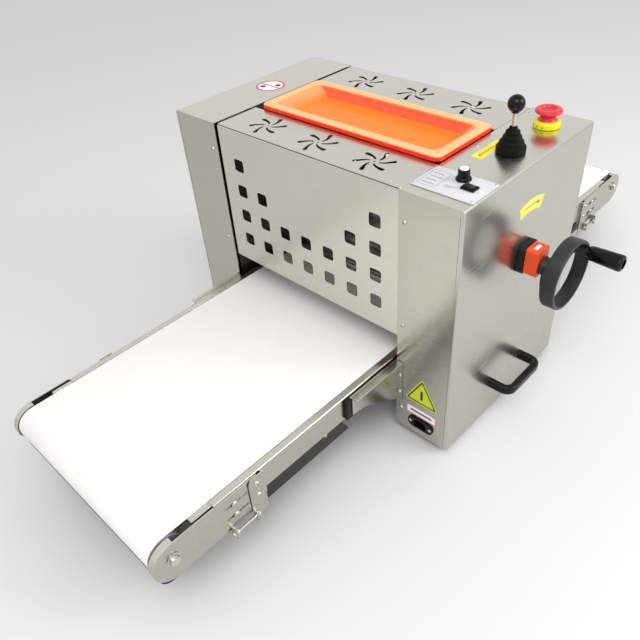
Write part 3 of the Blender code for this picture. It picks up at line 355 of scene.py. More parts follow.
AXES = {
    "XY": Matrix.Identity(4),
    "YZ": Matrix(((0, 0, 1, 0), (1, 0, 0, 0), (0, 1, 0, 0), (0, 0, 0, 1))),
    "XZ": Matrix(((1, 0, 0, 0), (0, 0, -1, 0), (0, 1, 0, 0), (0, 0, 0, 1))),
}


def soften(work, width, segments=2, angle=32):
    """Rounds every edge sharper than the angle."""
    if not width:
        return
    limit = math.radians(angle)
    edges = [e for e in work.edges if len(e.link_faces) == 2 and e.calc_face_angle(0) > limit]
    bmesh.ops.bevel(
        work, geom=edges, offset=width, segments=segments, profile=0.5, affect="EDGES", clamp_overlap=True
    )


def to_mesh(work, name="shape"):
    mesh = bpy.data.meshes.new(name)
    bmesh.ops.recalc_face_normals(work, faces=work.faces)
    work.to_mesh(mesh)
    work.free()
    return mesh


def prism(outlines, low, high, plane="XY", bevel=0.0, segments=2):
    """Flat outlines, the first cut by the others inside it, given thickness from low to high."""
    if isinstance(outlines[0][0], float | int):
        outlines = [outlines]
    curve = bpy.data.curves.new("outline", "CURVE")
    curve.dimensions = "2D"
    curve.fill_mode = "BOTH"
    curve.extrude = (high - low) / 2
    for outline in outlines:
        spline = curve.splines.new("POLY")
        spline.points.add(len(outline) - 1)
        spline.points.foreach_set("co", [v for x, y in outline for v in (x, y, 0, 1)])
        spline.use_cyclic_u = True
    source = bpy.data.objects.new("outline", curve)
    bpy.context.scene.collection.objects.link(source)
    graph = bpy.context.evaluated_depsgraph_get()
    flat = bpy.data.meshes.new_from_object(source.evaluated_get(graph))
    bpy.data.objects.remove(source)
    bpy.data.curves.remove(curve)
    middle = (low + high) / 2
    flat.transform(AXES[plane] @ Matrix.Translation((0, 0, -middle if plane == "XZ" else middle)))
    work = bmesh.new()
    work.from_mesh(flat)
    bpy.data.meshes.remove(flat)
    bmesh.ops.remove_doubles(work, verts=work.verts, dist=1e-6)
    bmesh.ops.dissolve_limit(work, angle_limit=math.radians(1), verts=work.verts, edges=work.edges)
    soften(work, bevel, segments)
    return to_mesh(work)


def block(low, high, bevel=0.0, segments=2):
    work = bmesh.new()
    bmesh.ops.create_cube(work, size=1)
    size = [b - a for a, b in zip(low, high)]
    middle = [(a + b) / 2 for a, b in zip(low, high)]
    bmesh.ops.transform(work, matrix=Matrix.LocRotScale(middle, None, size), verts=work.verts)
    soften(work, bevel, segments)
    return to_mesh(work)


def frame_at(place, axis):
    """Matrix that stands local +Z along a world axis, given as a signed letter or a vector."""
    if isinstance(axis, str):
        way = -1 if axis.startswith("-") else 1
        axis = Vector([way * (letter == axis[-1]) for letter in "XYZ"])
    return Matrix.Translation(place) @ Vector(axis).to_track_quat("Z", "Y").to_matrix().to_4x4()


def turned(profile, place=(0, 0, 0), axis="Z", steps=48, wobble=None):
    """Profile of (radius, height) points turned about an axis; wobble(angle, height) scales the radius."""
    work = bmesh.new()
    rings = []
    for radius, height in profile:
        if radius < 1e-6:
            rings.append([work.verts.new((0, 0, height))])
            continue
        ring = []
        for i in range(steps):
            a = 2 * math.pi * i / steps
            r = radius * (wobble(a, height) if wobble else 1)
            ring.append(work.verts.new((r * math.cos(a), r * math.sin(a), height)))
        rings.append(ring)
    pairs = list(zip(rings, rings[1:]))
    if len(rings[0]) > 1 and len(rings[-1]) > 1:
        pairs.append((rings[-1], rings[0]))
    for first, second in pairs:
        for i in range(steps):
            j = (i + 1) % steps
            corners = [first[i % len(first)], first[j % len(first)], second[j % len(second)],
                       second[i % len(second)]]
            unique = list(dict.fromkeys(corners))
            if len(unique) > 2:
                work.faces.new(unique)
    bmesh.ops.transform(work, matrix=frame_at(place, axis), verts=work.verts)
    return to_mesh(work)


def rod(radius, half, place, axis, steps=48):
    return turned([(0, half), (radius, half), (radius, -half), (0, -half)], place, axis, steps)


def rounded(points, radius, steps=4):
    """Open or closed profile with each inner corner rounded off."""
    out = [points[0]]
    for before, here, after in zip(points, points[1:], points[2:]):
        a, p, b = (Vector(v) for v in (before, here, after))
        reach = min(radius, (a - p).length * 0.45, (b - p).length * 0.45)
        start, end = p + (a - p).normalized() * reach, p + (b - p).normalized() * reach
        for i in range(steps + 1):
            t = i / steps
            out.append(tuple(start * (1 - t) ** 2 + p * 2 * t * (1 - t) + end * t**2))
    return out + [points[-1]]


def loft(loops, closed=False):
    work = bmesh.new()
    rings = [[work.verts.new(p) for p in loop] for loop in loops]
    pairs = list(zip(rings, rings[1:])) + ([(rings[-1], rings[0])] if closed else [])
    for first, second in pairs:
        count = len(first)
        for i in range(count):
            j = (i + 1) % count
            work.faces.new((first[i], first[j], second[j], second[i]))
    if not closed:
        work.faces.new(rings[0])
        work.faces.new(rings[-1])
    return to_mesh(work)


def swept(path, section):
    """Closed section of (across, up) points carried along a path in a level plane; up is +Z."""
    loops = []
    for i, point in enumerate(path):
        before, after = path[max(i - 1, 0)], path[min(i + 1, len(path) - 1)]
        run = (Vector(after) - Vector(before)).normalized()
        side = Vector((run.y, -run.x, 0))
        loops.append([Vector(point) + side * a + Vector((0, 0, b)) for a, b in section])
    return loft(loops)


def moved(mesh, offset):
    copy = mesh.copy()
    copy.transform(Matrix.Translation(offset))
    return copy


def placed(mesh, place, axis="Z"):
    copy = mesh.copy()
    copy.transform(frame_at(place, axis))
    return copy


def piece(name, meshes, material, body, replaces=(), sharp=35):
    """One object from several meshes, each in place, that rides on a body, or on none."""
    work = bmesh.new()
    for mesh in meshes if isinstance(meshes, list) else [meshes]:
        work.from_mesh(mesh)
    mesh = bpy.data.meshes.new(name)
    work.to_mesh(mesh)
    work.free()
    mesh.transform(SHIFT)
    mesh.materials.append(material)
    mesh.shade_smooth()
    mesh.set_sharp_from_angle(angle=math.radians(sharp))
    obj = bpy.data.objects.new(name, mesh)
    bpy.context.scene.collection.objects.link(obj)
    if body:
        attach(obj, body)
    if replaces:
        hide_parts(*([replaces] if isinstance(replaces, str) else replaces))
    return obj


def fixed(name, meshes, material, replaces=(), sharp=35):
    """A piece that rides on the machine's own body."""
    return piece(name, meshes, material, "machine", replaces, sharp)


def weighted(obj):
    normals = obj.modifiers.new("normals", "WEIGHTED_NORMAL")
    normals.keep_sharp = True
    return obj


def combined(operation, mesh, *tools):
    """mesh after a Boolean with each of the other meshes."""
    scene = bpy.context.scene.collection
    objects = [bpy.data.objects.new("solid", solid) for solid in (mesh, *tools)]
    for obj in objects:
        scene.objects.link(obj)
    host = objects[0]
    for tool in objects[1:]:
        step = host.modifiers.new("step", "BOOLEAN")
        step.operation = operation
        step.object = tool
    graph = bpy.context.evaluated_depsgraph_get()
    result = bpy.data.meshes.new_from_object(host.evaluated_get(graph))
    for obj in objects:
        bpy.data.objects.remove(obj)
    return result


def carve(mesh, *cutters):
    return combined("DIFFERENCE", mesh, *cutters)


def table_side(side):
    return "front" if side < 0 else "rear"


def flipped(side, outline):
    """(y, z) points drawn for the rear, turned over for the front where side is -1."""
    return [(side * y, z) for y, z in outline]


def sign(side, axis="Y"):
    return axis if side > 0 else "-" + axis


# --- Fasteners ---


def button_head(radius, height=None):
    """Domed socket screw head standing on z = 0."""
    height = height or radius * 0.55
    dome = [(0, height), (radius * 0.45, height)]
    dome += [(radius * math.cos(a), height * math.sin(a)) for a in (1.05, 0.8, 0.55, 0.3, 0.1)]
    dome += [(radius, 0), (0, 0)]
    socket = prism(arc((0, 0), radius * 0.5, 0, 300, 5), height * 0.35, height * 2)
    return carve(turned(dome, steps=24), socket)


def hex_head(radius, height):
    """Bolt head with chamfered corners, standing on z = 0."""
    hexagon = prism(arc((0, 0), radius, 0, 300, 5), 0, height)
    slope = [(radius * 0.84, height * 1.5), (radius * 0.84, height), (radius * 1.12, 0.0),
             (radius * 1.12, -height)]
    cone = turned([(0, height * 1.5), *slope, (0, -height)], steps=36)
    return combined("INTERSECT", hexagon, cone)


def washer(radius, bore, height):
    profile = rounded([(bore, height), (radius, height), (radius, 0), (bore, 0)], height * 0.3, 2)
    return turned(profile, steps=32)


# --- Covers ---


def cabinet(name, inner, outer):
    """Folded cover with softened edges, a seam down its front and rear, and the right one's holes."""
    way = math.copysign(1, outer)
    radius, skin, seam = 0.004, 0.002, 0.0007
    turn = 0 if way > 0 else 180
    bend = (outer - way * radius, TOP - radius)
    outside = [(inner, FOOT), (outer, FOOT), *arc(bend, radius, turn, 90, 14), (inner, TOP)]
    face = outer - way * skin
    past = inner - way * 0.01
    low = TOP - radius
    inside = [(past, FOOT - 0.01), (face, FOOT - 0.01), *arc((bend[0], low), radius - skin, turn, 90, 10)]
    inside.append((past, TOP - skin))
    cover = prism(outside, -HALF_DEPTH, HALF_DEPTH, "XZ")
    cover = round_corners(cover, outer, way)
    cutters = [prism(inside, skin - HALF_DEPTH, HALF_DEPTH - skin, "XZ")]
    for side in (-1, 1):
        y = side * HALF_DEPTH
        x = sorted((outer - way * 0.0046, outer - way * 0.0053))
        cutters.append(block((x[0], y - seam, FOOT - 0.01), (x[1], y + seam, TOP - 0.009)))
    if way > 0:
        cutters.append(rod(0.008, 0.02, (HALF_WIDTH, WHEEL_Y, WHEEL_Z), "X"))
        cutters.append(block((INLET[0] - 0.0145, -HALF_DEPTH - 0.01, INLET[1] - 0.0105),
                             (INLET[0] + 0.0145, -HALF_DEPTH + 0.01, INLET[1] + 0.0105)))
        cutters.append(rod(0.012, 0.02, (*STICK, TOP), "Z"))
    weighted(fixed(name + "_cover", carve(cover, *cutters), STEEL, name))


def round_corners(mesh, outer, way):
    """Wide bends down the outer corners, small ones along every other edge."""
    work = bmesh.new()
    work.from_mesh(mesh)
    tall = []
    for edge in work.edges:
        a, b = (vert.co for vert in edge.verts)
        if abs(a.z - b.z) > 0.2 and way * a.x > way * outer - 1e-4:
            tall.append(edge)
    bmesh.ops.bevel(work, geom=tall, offset=0.0042, segments=6, profile=0.5, affect="EDGES")
    soften(work, 0.0011, 3, 50)
    return to_mesh(work)


def cover_screws():
    head = button_head(0.0042)
    spots = [(0.207, z) for z in (0.404, 0.223, 0.0425)] + [(-0.209, z) for z in (0.403, 0.226, 0.042)]
    meshes = []
    for x, z in spots:
        for side in (-1, 1):
            meshes.append(placed(head, (x, side * HALF_DEPTH, FOOT + z), sign(side)))
    small = button_head(0.0030)
    for x, y in ((0.2055, -0.0005), (-0.207, 0.001), (0.2055, 0.150), (-0.207, 0.150), (-0.207, -0.150)):
        meshes.append(placed(small, (x, y, TOP), "Z"))
    fixed("cover_screws", meshes, BOLT)


def petal(centre, turn, reach=0.0325):
    """Curved slot of a pinwheel vent, thin at the middle and round at its outer end."""
    left, right = [], []
    for i in range(10):
        t = i / 9
        radius = 0.0075 + t * (reach - 0.0105)
        angle = turn - math.radians(30) * (1 - t) ** 1.3
        half = 0.0014 + 0.0026 * t**1.1
        for side, points in ((-1, left), (1, right)):
            a = angle + side * half / radius
            points.append((centre[0] + radius * math.cos(a), centre[1] + radius * math.sin(a)))
    tip = (centre[0] + (reach - 0.0035) * math.cos(turn), centre[1] + (reach - 0.0035) * math.sin(turn))
    cap = arc(tip, 0.0038, math.degrees(turn) - 75, math.degrees(turn) + 75, 6)
    return left + cap + right[::-1]


def guard(side):
    """Bent cover over half of the bay, with smooth vents and square holes."""
    name = table_side(side) + "_guard"
    face, slot, sheet, bend = GUARD_FACE, SLOTS[side], 0.0015, 0.005
    centre = (face - bend, TOP - bend)
    section = [(slot, TOP), *arc(centre, bend, 90, 0, 10), (face, GUARD_FOOT)]
    section += [(face - sheet, GUARD_FOOT), *arc(centre, bend - sheet, 0, 90, 10), (slot, TOP - sheet)]
    section = flipped(side, section)
    ends = (MIDDLE - GUARD_HALF, MIDDLE + GUARD_HALF)
    cover = prism(section, *ends, "YZ", 0.0004, 1)
    squares = []
    for row, columns in enumerate(HOLE_ROWS):
        for column in columns:
            x, z = MIDDLE + (column - 3) * HOLE_PITCH, FOOT + 0.388 - row * ROW_PITCH
            low, high = (x - HOLE_HALF, z - HOLE_HALF), (x + HOLE_HALF, z + HOLE_HALF)
            squares.append(rectangle(low, high, 0.0042, 6))
    around = sorted((side * (face - 0.006), side * (face + 0.006)))
    cutters = [prism([square], *around, "XZ") for square in squares]
    middle = side * (slot + face) / 2
    for i in (-1, 0, 1):
        at = (MIDDLE + i * 0.113, middle)
        for k in range(6):
            cutters.append(prism([petal(at, math.radians(31 + 60 * k))], TOP - 0.003, TOP + 0.003))
        cutters.append(prism([arc(at, 0.0016, 0, 337.5, 15)], TOP - 0.003, TOP + 0.003))
    merged = bmesh.new()
    for cutter in cutters:
        merged.from_mesh(cutter)
    meshes = [carve(cover, to_mesh(merged))]
    pivot = (side * (slot + 0.0045), TOP - 0.0067)
    for end, way in zip(ends, (1, -1)):
        y = sorted((pivot[0] - side * 0.0045, pivot[0] + side * 0.0085))
        ear = [(y[0], TOP - 0.001), (y[0], pivot[1]), *arc(pivot, 0.0045, 180, 270, 6),
               (y[1], pivot[1] - 0.0045), (y[1], TOP - 0.001)]
        if side < 0:
            ear = [(y[0], TOP - 0.001), (y[0], pivot[1] - 0.0045), *arc(pivot, 0.0045, 270, 360, 6),
                   (y[1], TOP - 0.001)]
        hole = arc(pivot, 0.0025, 0, 345, 23)
        meshes.append(prism([ear, hole], *sorted((end, end + way * 0.003)), "YZ", 0.0003, 1))
    cover = weighted(piece(name + "_cover", meshes, STEEL_GUARD, name, name))
    # Painted shade: faces inside the sheet get the near-black material so the holes and vents look dark.
    cover.data.materials.append(STEEL_SHADE)
    for polygon in cover.data.polygons:
        inside = abs(polygon.center.y) < face - 0.0011 and polygon.center.z < TOP - 0.0011
        polygon.material_index = int(inside)


def flour_tray():
    """Moulded tray with a rolled rim, drafted walls and rounded inner corners."""
    low, high = (-0.176, -0.083), (0.1955, 0.0615)

    def ring(inset_x, inset_y, height, corner):
        outline = rectangle((low[0] + inset_x, low[1] + inset_y), (high[0] - inset_x, high[1] - inset_y),
                            corner, 8)
        return [(x, y, TOP + height) for x, y in outline]

    rim, wall, rise = 0.017, 0.0025, 0.009
    floor = rise - 0.020
    profile = [(0.026, 0.012, floor, 0.004), (0.0225, 0.0085, floor + 0.0004, 0.0075),
               (0.0195, 0.0062, floor + 0.003, 0.010)]
    profile += [(0.0030, 0.0013, rise - 0.0042, 0.012), (0.0012, 0.0002, rise - 0.0014, 0.0125),
                (-0.0006, -0.0012, rise, 0.0132)]
    loops = [ring(rim + a, rim + b, h, c) for a, b, h, c in profile]
    edge = [(0.0036, rise, 0.009), (0.0015, rise - 0.0005, 0.0108), (0.0003, rise - 0.0019, 0.0118)]
    edge += [(0, rise - 0.0036, 0.012), (0, 0.0012, 0.012), (0.0004, 0.0009, 0.0117)]
    edge += [(wall - 0.0004, 0.0009, 0.0097), (wall, 0.0012, 0.0095), (wall, rise - wall - 0.001, 0.0095)]
    loops += [ring(v, v, h, c) for v, h, c in edge]
    loops.append(ring(rim - wall, rim - wall - 0.001, rise - wall - 0.001, 0.012))
    loops.append(ring(rim + 0.018, rim + 0.004, floor - wall, 0.010))
    piece("flour_tray_moulding", loft(loops), ORANGE, "flour_tray", "flour_tray", 50)


# --- Belt tables ---


def across(way, near, far):
    return sorted((MIDDLE + way * near, MIDDLE + way * far))


def along(side, near, far):
    return sorted((side * near, side * far))


def slab(x, y, z, bevel=0.0004, segments=2):
    return block((x[0], y[0], z[0]), (x[1], y[1], z[1]), bevel, segments)


def belt(side):
    a, b = along(side, 0.062, END_AXLE)
    outer = stadium(a, b, AXLE, 0.029, 28)
    inner = stadium(a, b, AXLE, 0.0275, 28)
    name = table_side(side) + "_belt"
    loop = prism([outer, inner], MIDDLE - 0.175, MIDDLE + 0.175, "YZ", 0.0004, 2)
    obj = piece(name + "_loop", loop, WHITE, None, name)
    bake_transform(obj)


def end_plate(side, way):
    hand = "right" if way > 0 else "left"
    name = f"{table_side(side)}_end_plate_{hand}"
    radius = 0.034
    centre = (0.625, BELT_TOP - 0.0005 - radius)
    outline = [(0.480, centre[1] - radius), (0.480, BELT_TOP - 0.0025), (0.5530, BELT_TOP - 0.0025)]
    outline += [(0.5555, BELT_TOP - 0.0005), *arc(centre, radius, 90, -90, 32)]
    near = 0.1883
    slots = []
    for z in CLAMP_ROWS:
        slots.append(stadium(*along(side, 0.5024, 0.5391), z, 0.0024, 8))
    bore = arc((side * END_AXLE, AXLE), 0.0053, 0, 345, 23)
    plate = prism([flipped(side, outline), *slots, bore], *across(way, near, near + 0.002), "YZ", 0.0005, 2)
    lip = [*arc(centre, radius, 97, -12, 30), *arc(centre, radius - 0.0016, -12, 97, 30)]
    lip = prism(flipped(side, lip), *across(way, 0.1785, near + 0.001), "YZ", 0.0006, 2)
    tab = slab(across(way, near + 0.0007, 0.2008), along(side, 0.5345, 0.5370),
               (FOOT + 0.067, FOOT + 0.0875), 0.0006)
    weighted(piece(name + "_sheet", [plate, lip, tab], STEEL_FRAME, table_side(side) + "_tension", name))
    x, z = MIDDLE + way * 0.1968, FOOT + 0.076
    outward = sign(side)
    thread = [(0.0021 - 0.00022 * (i % 2), 0.0465 * i / 62) for i in range(62, -1, -1)]
    bolt = turned([(0, 0.0465), *thread, (0, 0)], (x, side * 0.4900, z), outward, 12)
    meshes = [bolt, placed(hex_head(0.0042, 0.0034), (x, side * 0.4946, z), sign(-side))]
    meshes.append(placed(hex_head(0.0042, 0.0038), (x, side * 0.5344, z), sign(-side)))
    meshes.append(placed(hex_head(0.0042, 0.0030), (x, side * 0.5371, z), outward))
    piece(name + "_tension_bolt", meshes, BOLT, table_side(side) + "_tension")


def table_frame(side):
    """Rails with their flanges, clamp screws and lugs, and the slider bed between them."""
    name = table_side(side) + "_table_frame"
    meshes, screws = [], []
    button = button_head(0.0046, 0.0026)
    for way in (-1, 1):
        axis = sign(way, "X")
        rail_y = along(side, 0.040, 0.5535)
        x0, x1 = 0.1765, 0.188
        section = [(x0, BELT_TOP), *arc((x1 - 0.0022, BELT_TOP - 0.0022), 0.0022, 90, 0, 5),
                   (x1, FOOT + 0.104)]
        section += [(x1 - 0.002, FOOT + 0.104), (x1 - 0.002, BELT_TOP - 0.002), (x0, BELT_TOP - 0.002)]
        section = [(MIDDLE + way * x, z) for x, z in section]
        meshes.append(prism(section, *rail_y, "XZ", 0.0003, 1))
        meshes.append(slab(across(way, 0.1861, 0.1879), along(side, 0.4650, 0.5533),
                           (FOOT + 0.092, FOOT + 0.106), 0.0003))
        lug = [(0.4700, 0.1470), (0.4940, 0.1470), (0.4980, 0.1380), (0.4980, 0.0665), (0.4700, 0.0665)]
        outer = across(way, 0.1911, 0.1931)
        meshes.append(prism([(side * y, FOOT + z) for y, z in lug], *outer, "YZ", 0.0006, 2))
        meshes.append(slab(across(way, 0.187, 0.1926), along(side, 0.4700, 0.4725),
                           (FOOT + 0.093, FOOT + 0.146)))
        meshes.append(slab(across(way, 0.1921, 0.2008), along(side, 0.4950, 0.4975),
                           (FOOT + 0.067, FOOT + 0.085), 0.0006))
        for z in CLAMP_ROWS:
            screws.append(placed(washer(0.0052, 0.0021, 0.0006), (MIDDLE + way * 0.1904, side * 0.5228, z),
                                 axis))
            screws.append(placed(button, (MIDDLE + way * 0.1909, side * 0.5228, z), axis))
        for y, z in ((0.4840, FOOT + 0.1330), (0.4830, FOOT + 0.1080)):
            screws.append(placed(button, (MIDDLE + way * 0.1931, side * y, z), axis))
    meshes.append(slab((MIDDLE - 0.1845, MIDDLE + 0.1845), along(side, 0.095, 0.5875),
                       (BELT_TOP - 0.0048, BELT_TOP - 0.0018)))
    meshes.append(slab((MIDDLE - 0.187, MIDDLE + 0.187), along(side, 0.095, 0.5335),
                       (BELT_TOP - 0.0078, BELT_TOP - 0.0043)))
    weighted(fixed(name + "_sheets", meshes, STEEL_FRAME, name))
    fixed(name + "_screws", screws, BOLT)


def end_roller(side):
    name = table_side(side) + "_end_roller"
    place = (MIDDLE, side * END_AXLE, AXLE)
    half = 0.176
    profile = [(0, half), (0.0262, half), (0.0272, half - 0.001), (0.0272, -half + 0.001), (0.0262, -half),
               (0, -half)]
    piece(name + "_barrel", turned(profile, place, "X", 64), ROLLER, name, name)
    meshes = [rod(0.005, 0.1915, place, "X", 24)]
    for way, axis in ((1, "X"), (-1, "-X")):
        at = (MIDDLE + way * 0.1906, place[1], place[2])
        meshes.append(placed(washer(0.0100, 0.0052, 0.0012), at, axis))
        meshes.append(placed(hex_head(0.0084, 0.0052), (MIDDLE + way * 0.1917, place[1], place[2]), axis))
    piece(name + "_axle", meshes, BOLT, name)


def under_tray(side):
    name = table_side(side) + "_under_tray"
    low, high, corner, half, skin = FOOT + 0.0655, FOOT + 0.1070, 0.018, 0.1815, 0.0015

    def section(inset, lift):
        bend = arc((0.6510 - corner, low + corner), corner - inset, 0, -90, 14)
        top = [(0.3060 + inset, high + lift), (0.6030, high + lift), (0.6510 - inset, low + 0.022 + lift)]
        return flipped(side, [*top, *bend, (0.2825 + inset, low + inset)])

    outer = prism(section(0, 0), MIDDLE - half, MIDDLE + half, "YZ", 0.0010, 2)
    hollow = prism(section(skin, 0.01), MIDDLE - half + skin, MIDDLE + half - skin, "YZ")
    weighted(fixed(name + "_pan", carve(outer, hollow), DARK, name))
    post = turned([(0, 0.0068), (0.003, 0.0068), (0.003, 0), (0, 0)], steps=16)
    posts = []
    for way in (-1, 1):
        for y in (0.34, 0.56):
            at = (MIDDLE + way * 0.1795, side * y, FOOT + 0.100)
            posts.append(placed(post, at, sign(way, "X")))
    fixed(name + "_posts", posts, BOLT)


def bracket(side, way):
    hand = "right" if way > 0 else "left"
    name = f"{table_side(side)}_bracket_{hand}"
    face, high, near = HALF_DEPTH + 0.0003, FOOT + 0.146, 0.195
    outline = [(0.288, FOOT + 0.111), (0.288, high), (face, high), (face, FOOT + 0.059),
               (0.257, FOOT + 0.106)]
    gusset = prism(flipped(side, outline), *across(way, near, near + 0.002), "YZ", 0.0005, 2)
    flange = slab(across(way, near - 0.0045, near + 0.0105), along(side, 0.288, face), (high - 0.002, high),
                  0.0008, 2)
    foot = slab(across(way, near, near + 0.0105), along(side, face, face + 0.002), (FOOT + 0.061, high),
                0.0006)
    weighted(fixed(name + "_sheet", [gusset, flange, foot], STEEL_FRAME, name))
    screws = []
    head = button_head(0.0036)
    for z in (FOOT + 0.080, FOOT + 0.118):
        at = (MIDDLE + way * (near + 0.0062), side * (face + 0.002), z)
        screws.append(placed(head, at, sign(side)))
    fixed(name + "_screws", screws, BOLT)


def slide_block(side, way):
    name = f"{table_side(side)}_slide_block_{'right' if way > 0 else 'left'}"
    mesh = slab(across(way, 0.1883, 0.1947), along(side, HALF_DEPTH + 0.002, 0.298),
                (FOOT + 0.1045, FOOT + 0.1436), 0.0012, 3)
    fixed(name + "_strip", mesh, SATIN, name)


# --- Controls ---


def control_plate():
    """Thin plate with a film on it, and a generic layout of printed lines."""
    low, high = (0.199, -0.154), (0.298, -0.089)
    plate = prism(rectangle(low, high, 0.002, 6), TOP + 0.0003, TOP + 0.0018, bevel=0.0003)
    fixed("control_plate_sheet", plate, PANEL, "control_plate")
    z0, z1 = TOP + 0.0018, TOP + 0.00188
    lines = []

    def line(x0, y0, x1, y1, width=0.0005):
        run = Vector((x1 - x0, y1 - y0))
        side = Vector((-run.y, run.x)).normalized() * width / 2
        a, b = Vector((x0, y0)), Vector((x1, y1))
        lines.append(prism([tuple(p) for p in (a - side, b - side, b + side, a + side)], z0, z1))

    for y in (-0.146, -0.101):
        line(0.204, y, 0.232, y)
    for x in (0.204, 0.232):
        line(x, -0.146, x, -0.101)
    for i in range(4):
        line(0.208, -0.139 + i * 0.010, 0.228 - 0.004 * (i % 2), -0.139 + i * 0.010, 0.0014)
    for i in range(11):
        a = math.radians(-60 + 30 * i)
        near, far = (0.0132, 0.0158)
        c, s = math.cos(a), math.sin(a)
        line(KNOB[0] + near * c, KNOB[1] + near * s, KNOB[0] + far * c, KNOB[1] + far * s, 0.0006)
    line(0.240, -0.131, 0.256, -0.131, 0.0010)
    line(0.240, -0.135, 0.252, -0.135, 0.0010)
    fixed("control_plate_print", lines, INK)
    lens = turned(rounded([(0, 0.0022), (0.0022, 0.0020), (0.0031, 0.0008), (0.0034, 0), (0, 0)], 0.0005),
                  (0.2915, -0.1235, TOP + 0.0018))
    fixed("control_plate_lamp", lens, CAP)
    head = button_head(0.0020)
    spots = [(x, y) for x in (0.2025, 0.2945) for y in (-0.1505, -0.0925)]
    fixed("control_plate_screws", [placed(head, (x, y, TOP + 0.0018)) for x, y in spots], BOLT)


def speed_knob():
    at = (*KNOB, TOP + 0.0021)
    profile = [(0, 0.0155), (0.0066, 0.0155), (0.0078, 0.0150), (0.0084, 0.0045), (0.0106, 0.0030),
               (0.0110, 0.0012)]
    profile = rounded([*profile, (0.0110, 0), (0, 0)], 0.0006)

    def flutes(angle, height):
        return 1 + 0.018 * math.cos(18 * angle) if 0.004 < height < 0.0148 else 1.0

    body = turned(profile, at, steps=108, wobble=flutes)
    piece("speed_knob_body", body, BLACK, "speed_knob", "speed_knob", 50)
    cap = rounded([(0, 0.0165), (0.0058, 0.0165), (0.0064, 0.0160), (0.0065, 0.0152), (0, 0.0152)], 0.0004)
    piece("speed_knob_cap", turned(cap, at), CAP, "speed_knob")


def rocker_switch():
    at = Vector((*ROCKER, TOP + 0.0021))
    well = rectangle((-0.0086, -0.0062), (0.0086, 0.0062), 0.0005)
    bezel = prism([rectangle((-0.0105, -0.0080), (0.0105, 0.0080), 0.0014), well], 0, 0.0022, bevel=0.0004)
    floor = block((-0.0090, -0.0066, 0), (0.0090, 0.0066, 0.0006))
    fixed("rocker_bezel_frame", [moved(bezel, at), moved(floor, at)], BLACK, "rocker_bezel")
    section = []
    for t in [i / 12 for i in range(13)]:
        section.append((0.0079 - 0.0158 * t, 0.0034 - 0.0010 * math.sin(math.pi * t) + 0.0018 * t))
    section += [(-0.0079, 0.0026), (0, 0.0010), (0.0079, 0.0010)]
    rocker = prism(section, -0.0058, 0.0058, "XZ", 0.0003, 2)
    piece("rocker_switch_key", moved(rocker, at), BLACK, "rocker_switch", "rocker_switch")


def joystick():
    at = (*STICK, TOP)
    levels = [(0.0044, 0.0374), (0.0058, 0.0366), (0.0062, 0.0335), (0.0100, 0.0312), (0.0106, 0.0285),
              (0.0096, 0.0262)]
    levels += [(0.0128, 0.0246), (0.0140, 0.0216), (0.0132, 0.0190), (0.0166, 0.0172), (0.0180, 0.0140),
               (0.0174, 0.0108)]
    levels += [(0.0206, 0.0094), (0.0214, 0.0074), (0.0214, 0.0004)]
    inner = [(0.0196, 0.0004), (0.0196, 0.0070), (0.0150, 0.0090), (0.0060, 0.0280), (0.0040, 0.0340)]
    boot = rounded([*levels, *inner, (0.0044, 0.0374)], 0.0013, 4)
    boot = turned(boot[:-1], (0, 0, 0), steps=64)
    boot.transform(Matrix.Translation(at))
    obj = piece("joystick_boot_bellows", boot, RUBBER, None, "joystick_boot", 60)
    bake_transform(obj)
    stem = turned([(0, 0.060), (0.0030, 0.060), (0.0030, 0.0060), (0.0070, 0.0050), (0.0070, 0.0010),
                   (0, 0.0010)], at, steps=32)
    piece("joystick_lever_rod", stem, BOLT, "joystick_lever", "joystick_lever")
    ball = [(0.0122 * math.sin(math.pi * i / 28), 0.0694 + 0.0122 * math.cos(math.pi * i / 28))
            for i in range(25)]
    ball = [(0, ball[0][1]), *ball[1:], (0.0056, 0.0574), (0.0050, 0.0566), (0, 0.0566)]
    piece("joystick_lever_ball", turned(ball, at, steps=56), BLACK, "joystick_lever", sharp=60)


